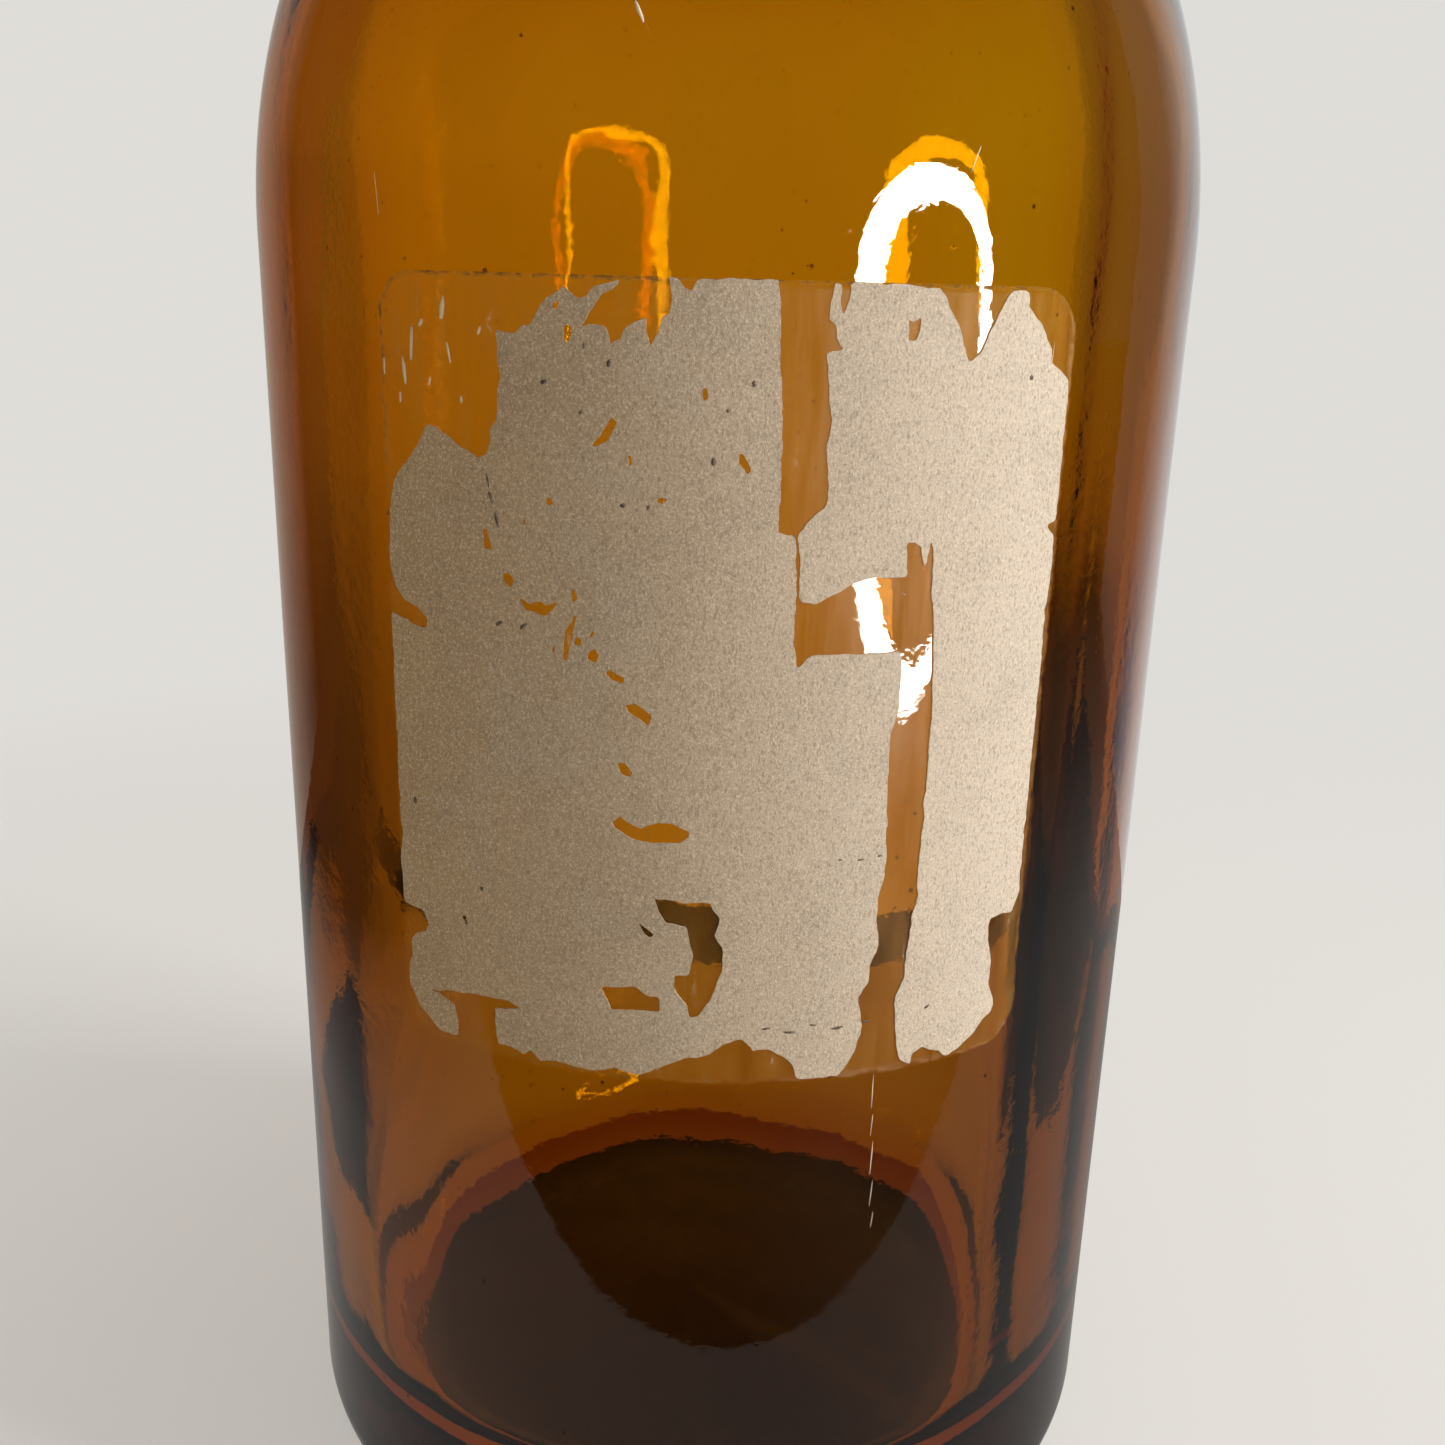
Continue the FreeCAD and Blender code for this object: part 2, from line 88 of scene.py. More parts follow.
class BottleSizes(bpy.types.PropertyGroup):
    heel: length("Heel", "Round between the base and the body", 12 * MM)
    ring: length("Standing ring", "Inside radius of the flat ring it stands on", 50 * MM)
    push_up: length("Push-up", "Height of the hollow under the base", 5 * MM)
    shoulder_start: length("Shoulder start", "Height where the shoulder begins", 216 * MM)
    shoulder_rise: length("Shoulder rise", "Height of the rounded shoulder", 75 * MM)
    neck: length("Neck", "Outside radius of the neck", 22.5 * MM)
    lip: length("Lip", "Outside radius of the lip", 29 * MM)
    lip_height: length("Lip height", "Height of the lip band", 10 * MM)
    wall_left: length("Left wall", "Wall on the thinner side", 10.5 * MM)
    wall_right: length("Right wall", "Wall on the thicker side", 11.5 * MM)
    floor: length("Floor", "Height of the cavity's floor", 14 * MM)
    cavity_heel: length("Cavity heel", "Round at the cavity's floor", 18 * MM)
    bore: length("Bore", "Radius of the plain bore", 14 * MM)
    socket: length("Socket", "Radius of the ground socket at the mouth", 16.5 * MM)
    socket_length: length("Socket length", "Length of the ground socket", 40 * MM)
    ground_gap: length("Ground gap", "Radial gap round the plug", 0.3 * MM)
    wave: length("Wall waves", "How far the inner wall wanders", 0.55 * MM)


class FinishColours(bpy.types.PropertyGroup):
    absorption: colour("Glass tint", "Colour the glass lets through", (0.921, 0.81, 0.10))
    density: FloatProperty(name="Tint density", description="Absorption per metre",
                           default=370.0)
    # The label's paper runs from the browned colour on the left to the paler one on the right:
    # partly real browning, partly painted shade on the left and painted sheen on the right.
    paper: colour("Paper", "Aged paper on the right of the label, paler with painted sheen", (0.52, 0.44, 0.355))
    paper_brown_and_shade: colour("Browned and shaded paper", "Browned and shaded paper on the left", (0.41, 0.285, 0.145))
    bloom: colour("Grey bloom", "Greyish patches of the paper", (0.45, 0.39, 0.32))
    paper_light: colour("Pale fibres", "Pale fibres in the paper", (0.66, 0.54, 0.40))
    paper_dark: colour("Dark fibres", "Dark fibres and stains", (0.19, 0.14, 0.09))
    torn: colour("Torn edge", "Fresh fibres along the torn edges", (0.72, 0.62, 0.46))
    film: colour("Paste film", "Dried paste where paper is gone", (0.62, 0.27, 0.03))
    flake: colour("Paste flakes", "Pale crumbs of dried paste", (0.72, 0.60, 0.42))
    dirt: colour("Dirt", "Dark specks and the line round the label's place", (0.05, 0.03, 0.015))


class StageSettings(bpy.types.PropertyGroup):
    floor_tone: colour("Floor", "Colour of the floor", (0.78, 0.77, 0.74))
    # The mirrored and seen-through floor colours are dimmer copies of the floor: painted shade.
    mirrored_floor: colour("Mirrored floor", "The floor as the glass mirrors it",
                           (0.30, 0.28, 0.26))
    through_floor: colour("Floor through glass", "The floor as seen through the glass",
                          (0.40, 0.32, 0.30))
    fill: colour("Fill", "Soft light all round", (0.40, 0.35, 0.29))
    background: colour("Background", "Pale background", (0.74, 0.72, 0.69))
    wall_left: colour("Left wall", "Wall on the left, seen through glass", (0.66, 0.58, 0.49))
    wall_right: colour("Right wall", "Wall on the right, seen through glass", (0.72, 0.75, 0.75))
    key: FloatProperty(name="Key", description="Key panel in watts", default=29.0)
    ring: FloatProperty(name="Ring", description="Ring lamp radiance", default=80.0)


def sizes():
    return bpy.context.scene.bottle_sizes


def tints():
    return bpy.context.scene.bottle_tints


def staging():
    return bpy.context.scene.bottle_stage


# ---------------------------------------------------------------- node helpers

def new_material(name):
    """An empty node material with its output."""
    material = bpy.data.materials.new(name)
    material.use_nodes = True
    tree = material.node_tree
    tree.nodes.clear()
    output = tree.nodes.new("ShaderNodeOutputMaterial")
    return material, tree, output


def add_node(tree, kind, **values):
    """A node with its attributes and unlinked inputs set by name."""
    node = tree.nodes.new(kind)
    for name, value in values.items():
        if name in node.inputs:
            node.inputs[name].default_value = value
        else:
            setattr(node, name, value)
    return node


def object_coordinates(tree, stretch=(1.0, 1.0, 1.0)):
    """Object coordinates through a Mapping node that stretches the pattern."""
    source = tree.nodes.new("ShaderNodeTexCoord")
    mapping = tree.nodes.new("ShaderNodeMapping")
    mapping.inputs["Scale"].default_value = stretch
    tree.links.new(source.outputs["Object"], mapping.inputs["Vector"])
    return mapping.outputs["Vector"]


def noise_texture(tree, vector, scale, detail=3.0, roughness=0.55):
    node = add_node(tree, "ShaderNodeTexNoise", Scale=scale, Detail=detail, Roughness=roughness)
    tree.links.new(vector, node.inputs["Vector"])
    return node.outputs["Fac"]


def map_range(tree, value, low, high, to_low, to_high):
    node = tree.nodes.new("ShaderNodeMapRange")
    for name, number in (("From Min", low), ("From Max", high),
                         ("To Min", to_low), ("To Max", to_high)):
        node.inputs[name].default_value = number
    tree.links.new(value, node.inputs["Value"])
    return node.outputs["Result"]


def mix_colour(tree, factor, first, second, blend="MIX"):
    """Mix two colours; each of the three may be a socket or a plain value."""
    node = tree.nodes.new("ShaderNodeMix")
    node.data_type = "RGBA"
    node.blend_type = blend
    for index, value in ((0, factor), (6, first), (7, second)):
        if isinstance(value, bpy.types.NodeSocket):
            tree.links.new(value, node.inputs[index])
        elif index == 0:
            node.inputs[index].default_value = value
        else:
            node.inputs[index].default_value = (*value, 1.0)
    return node.outputs[2]


def mix_number(tree, factor, first, second):
    """first where the factor is 0, second where it is 1."""
    change = minus(tree, second, first)
    return plus(tree, first, times(tree, factor, change))


def combine(tree, operation, first, second):
    node = tree.nodes.new("ShaderNodeMath")
    node.operation = operation
    for index, value in enumerate((first, second)):
        if isinstance(value, bpy.types.NodeSocket):
            tree.links.new(value, node.inputs[index])
        else:
            node.inputs[index].default_value = value
    return node.outputs[0]


def times(tree, first, second):
    return combine(tree, "MULTIPLY", first, second)


def plus(tree, first, second):
    return combine(tree, "ADD", first, second)


def minus(tree, first, second):
    return combine(tree, "SUBTRACT", first, second)


# ---------------------------------------------------------------- materials

def dots(tree, vector, scale, radius, sparse):
    """A mask of small round dots, one in some of the cells of a Voronoi pattern."""
    cells = add_node(tree, "ShaderNodeTexVoronoi", Scale=scale)
    tree.links.new(vector, cells.inputs["Vector"])
    pick = tree.nodes.new("ShaderNodeSeparateColor")
    tree.links.new(cells.outputs["Color"], pick.inputs["Color"])
    chosen = map_range(tree, pick.outputs[0], sparse, sparse + 0.01, 0.0, 1.0)
    reach = times(tree, pick.outputs[1], radius * 1.4)
    gap = minus(tree, cells.outputs["Distance"],
                plus(tree, reach, radius * 0.3))
    return times(tree, chosen, map_range(tree, gap, -radius * 0.5, 0.0, 1.0, 0.0))


def glass_skin_group():
    """Old moulded glass: a height for bump, a mask of haze and a mask of dark specks."""
    found = bpy.data.node_groups.get("glass_skin")
    if found:
        return found
    group = bpy.data.node_groups.new("glass_skin", "ShaderNodeTree")
    group.interface.new_socket("Vector", in_out="INPUT", socket_type="NodeSocketVector")
    group.interface.new_socket("Height", in_out="OUTPUT", socket_type="NodeSocketFloat")
    group.interface.new_socket("Haze", in_out="OUTPUT", socket_type="NodeSocketFloat")
    group.interface.new_socket("Specks", in_out="OUTPUT", socket_type="NodeSocketFloat")
    entry = group.nodes.new("NodeGroupInput")
    leave = group.nodes.new("NodeGroupOutput")
    vector = entry.outputs["Vector"]
    peel = noise_texture(group, vector, 420.0, 2.0, 0.5)
    pits = noise_texture(group, vector, 1500.0, 2.0, 0.6)
    slow = noise_texture(group, vector, 60.0, 1.0, 0.4)
    height = plus(group, times(group, peel, 0.35),
                  times(group, slow, 1.6))
    height = plus(group, height, times(group, pits, 0.06))
    cloud = noise_texture(group, vector, 35.0, 5.0, 0.65)
    grit = noise_texture(group, vector, 2200.0, 2.0, 0.6)
    haze = times(group, map_range(group, cloud, 0.42, 0.75, 0.0, 1.0),
                 map_range(group, grit, 0.40, 0.75, 0.3, 1.0))
    coarse = dots(group, vector, 210.0, 0.055, 0.62)
    fine = times(group, dots(group, vector, 620.0, 0.10, 0.55),
                 map_range(group, cloud, 0.48, 0.60, 0.0, 1.0))
    specks = combine(group, "MAXIMUM", coarse, fine)
    height = minus(group, height, times(group, specks, 0.5))
    group.links.new(specks, leave.inputs["Specks"])
    group.links.new(height, leave.inputs["Height"])
    group.links.new(haze, leave.inputs["Haze"])
    return group


def amber_glass(name, smooth, rough, bump, surface=(1.0, 1.0, 1.0), gleam=1.0):
    """Amber glass: a clear, speckled skin over a body that absorbs blue and green."""
    material, tree, output = new_material(name)
    shader = add_node(tree, "ShaderNodeBsdfPrincipled", IOR=1.52)
    shader.inputs["Specular Tint"].default_value = (gleam, gleam, gleam, 1.0)
    shader.inputs["Transmission Weight"].default_value = 1.0
    skin = tree.nodes.new("ShaderNodeGroup")
    skin.node_tree = glass_skin_group()
    tree.links.new(object_coordinates(tree), skin.inputs["Vector"])
    roughness = map_range(tree, skin.outputs["Haze"], 0.0, 1.0, smooth, rough)
    speckled = mix_colour(tree, skin.outputs["Specks"], surface, (0.12, 0.06, 0.03))
    tree.links.new(speckled, shader.inputs["Base Color"])
    tree.links.new(roughness, shader.inputs["Roughness"])
    relief = add_node(tree, "ShaderNodeBump", Strength=bump, Distance=0.0006)
    tree.links.new(skin.outputs["Height"], relief.inputs["Height"])
    tree.links.new(relief.outputs["Normal"], shader.inputs["Normal"])
    body = tree.nodes.new("ShaderNodeVolumeAbsorption")
    body.inputs["Color"].default_value = (*tints().absorption, 1.0)
    body.inputs["Density"].default_value = tints().density
    tree.links.new(shader.outputs["BSDF"], output.inputs["Surface"])
    tree.links.new(body.outputs["Volume"], output.inputs["Volume"])
    return material


def old_paper():
    """Aged label paper: mottled fibres, browner and darker on one side and paler on the other,
    partly real browning and partly painted shade and sheen, with pale fibres along the tears.
    """
    material, tree, output = new_material("old_paper")
    vector = object_coordinates(tree)
    shader = add_node(tree, "ShaderNodeBsdfPrincipled", IOR=1.4, Roughness=0.7)
    shader.inputs["Specular IOR Level"].default_value = 0.3
    grain = noise_texture(tree, vector, 3400.0, 2.0, 0.7)
    fibre = noise_texture(tree, object_coordinates(tree, (1.0, 1.0, 0.5)), 3000.0, 4.0, 0.8)
    cloud = noise_texture(tree, vector, 75.0, 4.0, 0.6)
    bloom = noise_texture(tree, vector, 42.0, 4.0, 0.65)
    place = tree.nodes.new("ShaderNodeSeparateXYZ")
    tree.links.new(vector, place.inputs["Vector"])
    # Painted light and shade across the label: browner and darker to the left, paler to the right,
    # partly real browning.
    across = map_range(tree, place.outputs["X"], -45 * MM, 40 * MM, 0.0, 1.0)
    base = mix_colour(tree, across, tints().paper_brown_and_shade, tints().paper)
    base = mix_colour(tree, map_range(tree, cloud, 0.45, 0.72, 0.0, 0.22), base,
                      tints().paper_dark)
    base = mix_colour(tree, map_range(tree, bloom, 0.52, 0.70, 0.0, 0.45), base,
                      tints().bloom)
    base = mix_colour(tree, map_range(tree, grain, 0.50, 0.64, 0.0, 0.8), base,
                      tints().paper_light)
    base = mix_colour(tree, map_range(tree, fibre, 0.50, 0.64, 0.0, 0.62), base,
                      tints().paper_dark)
    tear = add_node(tree, "ShaderNodeAttribute", attribute_name="tear")
    ragged = times(tree, tear.outputs["Fac"],
                   map_range(tree, grain, 0.35, 0.6, 0.1, 0.75))
    base = mix_colour(tree, ragged, base, tints().torn)
    height = plus(tree, grain, times(tree, fibre, 0.8))
    relief = add_node(tree, "ShaderNodeBump", Strength=0.5, Distance=0.00009)
    tree.links.new(height, relief.inputs["Height"])
    tree.links.new(base, shader.inputs["Base Color"])
    tree.links.new(relief.outputs["Normal"], shader.inputs["Normal"])
    tree.links.new(shader.outputs["BSDF"], output.inputs["Surface"])
    return material


def label_space(tree):
    """Object coordinates turned into millimetres round the body and below the label's top."""
    place = tree.nodes.new("ShaderNodeSeparateXYZ")
    tree.links.new(object_coordinates(tree), place.inputs["Vector"])
    front = times(tree, place.outputs["Y"], -1.0)
    turn = combine(tree, "ARCTAN2", place.outputs["X"], front)
    around = times(tree, turn, BODY_RADIUS / MM)
    down = minus(tree, LABEL_TOP / MM,
                 times(tree, place.outputs["Z"], 1 / MM))
    return around, down


def paste_film():
    """Thin dried paste: an amber bloom with faint brush marks and dirt round its edge."""
    material, tree, output = new_material("paste_film")
    shader = add_node(tree, "ShaderNodeBsdfPrincipled", IOR=1.4, Roughness=0.35)
    vector = object_coordinates(tree)
    around, down = label_space(tree)
    middle, half_width, half_height, corner = 0.35, 48.35, 54.0, 6.0
    side = combine(tree, "ABSOLUTE", minus(tree, around, middle), 0.0)
    rise = combine(tree, "ABSOLUTE", minus(tree, down, half_height), 0.0)
    past_side = minus(tree, side, half_width - corner)
    past_rise = minus(tree, rise, half_height - corner)
    clear_side = combine(tree, "MAXIMUM", past_side, 0.0)
    clear_rise = combine(tree, "MAXIMUM", past_rise, 0.0)
    square = plus(tree, times(tree, clear_side, clear_side),
                  times(tree, clear_rise, clear_rise))
    edge = plus(tree, combine(tree, "POWER", square, 0.5),
                combine(tree, "MINIMUM", combine(tree, "MAXIMUM", past_side, past_rise), 0.0))
    edge = minus(tree, edge, corner)
    wander = noise_texture(tree, vector, 260.0, 3.0, 0.6)
    edge = plus(tree, edge, map_range(tree, wander, 0.3, 0.7, -0.35, 0.35))
    inside = map_range(tree, edge, -0.2, 0.1, 1.0, 0.0)
    ridge = times(tree, map_range(tree, edge, -0.75, -0.15, 0.0, 1.0),
                  map_range(tree, edge, -0.05, 0.45, 1.0, 0.0))
    broken = noise_texture(tree, vector, 700.0, 3.0, 0.7)
    ridge = times(tree, ridge, map_range(tree, broken, 0.40, 0.60, 0.10, 0.70))
    ridge = times(tree, ridge, map_range(tree, down, 3.0, 30.0, 1.0, 0.30))
    brush = noise_texture(tree, object_coordinates(tree, (1.0, 1.0, 0.12)), 420.0, 4.0, 0.65)
    bloom = map_range(tree, brush, 0.35, 0.75, 0.03, 0.16)
    bloom = times(tree, bloom, inside)
    streak = times(tree, map_range(tree, brush, 0.62, 0.70, 0.0, 0.35),
                   map_range(tree, broken, 0.50, 0.62, 0.0, 1.0))
    streak = times(tree, streak, inside)
    base = mix_colour(tree, map_range(tree, streak, 0.0, 0.2, 0.0, 1.0), tints().film,
                      tints().flake)
    base = mix_colour(tree, ridge, base, tints().dirt)
    cover = combine(tree, "MAXIMUM", combine(tree, "MAXIMUM", bloom, streak), ridge)
    tree.links.new(base, shader.inputs["Base Color"])
    tree.links.new(cover, shader.inputs["Alpha"])
    tree.links.new(shader.outputs["BSDF"], output.inputs["Surface"])
    return material


def crumb_material(name, tone, second):
    """Crumbs and specks: a matt colour, patchy at a fine scale."""
    material, tree, output = new_material(name)
    shader = add_node(tree, "ShaderNodeBsdfPrincipled", IOR=1.4, Roughness=0.75)
    patch = noise_texture(tree, object_coordinates(tree), 2200.0, 3.0, 0.6)
    base = mix_colour(tree, map_range(tree, patch, 0.35, 0.65, 0.0, 1.0), tone, second)
    tree.links.new(base, shader.inputs["Base Color"])
    tree.links.new(shader.outputs["BSDF"], output.inputs["Surface"])
    return material


# ---------------------------------------------------------------- mesh helpers

def finish_piece(name, mesh_work, materials, body, crease=None):
    """Make the object from a bmesh and let it ride on its body."""
    mesh = bpy.data.meshes.new(name)
    mesh_work.to_mesh(mesh)
    mesh_work.free()
    for material in materials:
        mesh.materials.append(material)
    mesh.shade_smooth()
    if crease:
        mesh.set_sharp_from_angle(angle=math.radians(crease))
    piece = bpy.data.objects.new(name, mesh)
    bpy.context.scene.collection.objects.link(piece)
    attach(piece, body)
    return piece


def arc(centre, radius, start, end, steps):
    """Points (radius, height) along an arc, angles in degrees, both ends included."""
    points = []
    for step in range(steps + 1):
        angle = math.radians(start + (end - start) * step / steps)
        points.append((centre[0] + radius * math.cos(angle), centre[1] + radius * math.sin(angle)))
    return points


def straight(start, end, spacing):
    """Points from start to end, no further apart than the spacing, start left out."""
    steps = max(1, math.ceil(math.dist(start, end) / spacing))
    return [(start[0] + (end[0] - start[0]) * step / steps,
             start[1] + (end[1] - start[1]) * step / steps) for step in range(1, steps + 1)]


def quarter_ellipse(centre, across, up, steps):
    """Points from the right of the centre up to its top, the first left out."""
    points = []
    for step in range(1, steps + 1):
        angle = math.pi / 2 * step / steps
        points.append((centre[0] + across * math.cos(angle), centre[1] + up * math.sin(angle)))
    return points


def spin_profile(profile, steps):
    """A closed solid of revolution about Z from a profile that starts and ends on the axis."""
    work = bmesh.new()
    previous = None
    for radius, height in profile:
        vertex = work.verts.new((radius, 0.0, height))
        if previous is not None:
            work.edges.new((previous, vertex))
        previous = vertex
    bmesh.ops.spin(work, geom=work.verts[:] + work.edges[:], cent=(0, 0, 0), axis=(0, 0, 1),
                   angle=math.tau, steps=steps, use_merge=True)
    bmesh.ops.remove_doubles(work, verts=work.verts, dist=1e-7)
    bmesh.ops.recalc_face_normals(work, faces=work.faces)
    return work


def smooth_step(value, low, high):
    """0 below low, 1 above high, and an easy curve between."""
    amount = min(1.0, max(0.0, (value - low) / (high - low)))
    return amount * amount * (3 - 2 * amount)


# ---------------------------------------------------------------- the glass

def outside_profile():
    """The bottle's outer line from the base's centre to the top of the lip."""
    s = sizes()
    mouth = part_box("bottle")[1].z
    top = s.shoulder_start + s.shoulder_rise
    lip_foot = mouth - s.lip_height
    lip_round = 3.5 * MM
    hollow = (s.ring ** 2 + s.push_up ** 2) / (2 * s.push_up)
    rim = math.degrees(math.asin(s.ring / hollow))
    line = arc((0.0, s.push_up - hollow), hollow, 90, 90 - rim, 14)
    line += straight((s.ring, 0.0), (BODY_RADIUS - s.heel, 0.0), 3 * MM)
    line += arc((BODY_RADIUS - s.heel, s.heel), s.heel, 270, 360, 20)[1:]
    line += straight((BODY_RADIUS, s.heel), (BODY_RADIUS, s.shoulder_start), 3 * MM)
    line += quarter_ellipse((s.neck, s.shoulder_start), BODY_RADIUS - s.neck,
                            s.shoulder_rise, 56)[:-1]
    line += arc((s.neck + 5 * MM, top + 4.0 * MM), 5 * MM, 235, 180, 8)
    line += straight(line[-1], (s.neck, lip_foot - 2 * MM), 3 * MM)
    line += arc((s.neck + 2 * MM, lip_foot - 2 * MM), 2 * MM, 180, 90, 5)[1:]
    line += straight(line[-1], (s.lip - lip_round, lip_foot), 2 * MM)
    line += arc((s.lip - lip_round, lip_foot + lip_round), lip_round, 270, 360, 8)[1:]
    line += straight(line[-1], (s.lip, mouth - lip_round), 2 * MM)
    line += arc((s.lip - lip_round, mouth - lip_round), lip_round, 0, 90, 8)[1:]
    return line


def inside_profile():
    """The cavity's line from the mouth down to the middle of its floor."""
    s = sizes()
    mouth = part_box("bottle")[1].z
    mouth_round = 1.5 * MM
    narrow = s.socket - 0.05 * s.socket_length
    socket_foot = mouth - s.socket_length
    inner = BODY_RADIUS - (s.wall_left + s.wall_right) / 2
    dome_top = 280 * MM
    dome_foot = s.shoulder_start + 7 * MM      # the cavity's shoulder starts a little higher
    line = straight((s.lip - 3.5 * MM, mouth), (s.socket + mouth_round, mouth), 2 * MM)
    line += arc((s.socket + mouth_round, mouth - mouth_round), mouth_round, 90, 180, 5)[1:]
    line += straight(line[-1], (narrow, socket_foot), 3 * MM)
    line += straight(line[-1], (s.bore, socket_foot - 1 * MM), 1 * MM)
    line += straight(line[-1], (s.bore, dome_top), 3 * MM)
    dome = quarter_ellipse((s.bore, dome_foot), inner - s.bore, dome_top - dome_foot, 48)
    line += dome[-2::-1]
    line += straight((inner, dome_foot), (inner, s.floor + s.cavity_heel), 3 * MM)
    line += arc((inner - s.cavity_heel, s.floor + s.cavity_heel), s.cavity_heel, 0, -90, 18)[1:]
    line += straight(line[-1], (0.0, s.floor + 2.5 * MM), 3 * MM)
    return line


def wall_wave(point, amount):
    """How far the inner wall stands in or out at a point: long slow waves and drawn streaks."""
    slow = noise.noise(Vector((point.x * 22, point.y * 22, point.z * 14)))
    streak = noise.noise(Vector((point.x * 90 + 7, point.y * 90, point.z * 10)))
    ripple = noise.noise(Vector((point.x * 60, point.y * 60 + 3, point.z * 60)))
    return amount * (slow + 0.42 * streak + 0.16 * ripple)


def front_swell(place):
    """A local swell of the inner wall at the right front, as poured glass often has."""
    height, middle, half_width = 0.75 * MM, 0.42, 0.44
    share = (math.atan2(place.x, -place.y) - middle) / half_width
    return height * math.sin(math.pi * share) if abs(share) < 1 else 0.0


def build_bottle():
    """The bottle as one closed wall of glass, its cavity set over and gently uneven."""
    s = sizes()
    outer = outside_profile()
    inner = inside_profile()
    work = spin_profile(outer + inner, 224)
    shift = (s.wall_left - s.wall_right) / 2
    neck_foot = 282 * MM
    for vertex in work.verts:
        place = vertex.co
        radius = math.hypot(place.x, place.y)
        inside = is_inside(radius, place.z)
        if radius < 1e-6:
            continue
        outward = Vector((place.x, place.y, 0.0)) / radius
        if inside:
            ease = 1 - smooth_step(place.z, 225 * MM, neck_foot)
            wave = wall_wave(place, s.wave) + front_swell(place)
            wave *= ease * min(1.0, radius / (40 * MM))
            place += outward * wave
            if radius < BODY_RADIUS - 25 * MM and place.z < s.floor + 6 * MM:
                place.z += wave * 1.5
            place.x += shift * ease
        elif s.heel < place.z < s.shoulder_start + s.shoulder_rise:
            place += outward * (-abs(wall_wave(place * 0.6, 0.12 * MM)))
    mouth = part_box("bottle")[1].z
    for face in work.faces:
        centre = face.calc_center_median()
        radius = math.hypot(centre.x, centre.y)
        in_socket = mouth - s.socket_length < centre.z < mouth - 1.2 * MM
        in_base = centre.z < s.floor + 4 * MM and radius < BODY_RADIUS - s.heel
        if in_socket and radius < s.socket + 0.2 * MM:
            face.material_index = 1
        elif in_base:
            face.material_index = 2
        else:
            face.material_index = 0
    # The base's glass gets a dark surface tint and dimmed reflections: painted shade for the
    # shaded floor under the bottle, seen through the base.
    materials = [amber_glass("clear_amber", 0.002, 0.06, 0.08),
                 amber_glass("ground_amber", 0.42, 0.5, 0.6),
                 amber_glass("base_amber_painted_shade", 0.05, 0.3, 0.3, (0.36, 0.17, 0.12), 0.10)]
    piece = finish_piece("bottle_glass", work, materials, "bottle")
    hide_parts("bottle")
    return piece


def is_inside(radius, height):
    """True for a point of the spun profile that lies on the cavity, bore or socket."""
    s = sizes()
    inner = BODY_RADIUS - (s.wall_left + s.wall_right) / 2
    if height < s.floor - 1 * MM:
        return False
    if height <= s.shoulder_start:
        return radius < inner + 1 * MM
    rise = min(1.0, (height - s.shoulder_start) / s.shoulder_rise)
    outer = s.neck + (BODY_RADIUS - s.neck) * math.sqrt(max(0.0, 1 - rise * rise))
    return radius < outer - 3 * MM


def build_stopper():
    """The ground stopper: frosted plug, waisted collar and a thick head with a soft dome."""
    s = sizes()
    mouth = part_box("bottle")[1].z
    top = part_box("stopper")[1].z
    foot = mouth - s.socket_length
    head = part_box("stopper")[1].x
    head_foot = mouth + 6 * MM
    foot_radius = s.socket - 0.05 * s.socket_length - s.ground_gap
    at_mouth = foot_radius + 0.05 * s.socket_length
    soft = 5.5 * MM
    line = [(0.0, foot + 1.2 * MM)]
    line += straight(line[-1], (foot_radius - 2.5 * MM, foot + 0.3 * MM), 3 * MM)
    line += arc((foot_radius - 1.6 * MM, foot + 1.6 * MM), 1.6 * MM, 250, 360, 6)
    line += straight(line[-1], (at_mouth, mouth), 3 * MM)
    line += straight(line[-1], (at_mouth - 0.8 * MM, mouth + 2 * MM), 1 * MM)
    line += arc((at_mouth + 3.2 * MM, head_foot - 4 * MM + 2 * MM), 4 * MM, 180, 110, 6)
    line += straight(line[-1], (head - soft, head_foot + 0.6 * MM), 2 * MM)
    line += arc((head - soft, head_foot + soft + 0.6 * MM), soft, 270, 360, 10)[1:]
    line += straight(line[-1], (head, top - soft - 1 * MM), 1.5 * MM)
    line += arc((head - soft, top - soft - 1 * MM), soft, 0, 75, 10)[1:]
    line += straight(line[-1], (8 * MM, top), 2.5 * MM)
    line += straight(line[-1], (0.0, top - 0.4 * MM), 2.5 * MM)
    work = spin_profile(line, 128)
    for face in work.faces:
        centre = face.calc_center_median()
        face.material_index = 1 if foot + 1 * MM < centre.z < mouth + 0.5 * MM else 0
    materials = [bpy.data.materials["clear_amber"], bpy.data.materials["ground_amber"]]
    piece = finish_piece("stopper_glass", work, materials, "stopper")
    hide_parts("stopper")
    return piece


# ---------------------------------------------------------------- the label

def unwrap(place):
    """A point on the body, as distance round it from the front line, and height."""
    return Vector((math.atan2(place.x, -place.y) * BODY_RADIUS, place.z, 0.0))


def wrap(flat, stand_off):
    """The point of the body that a flat point lies over, standing off by a distance."""
    angle = flat.x / BODY_RADIUS
    reach = BODY_RADIUS + stand_off
    return Vector((reach * math.sin(angle), -reach * math.cos(angle), flat.y))


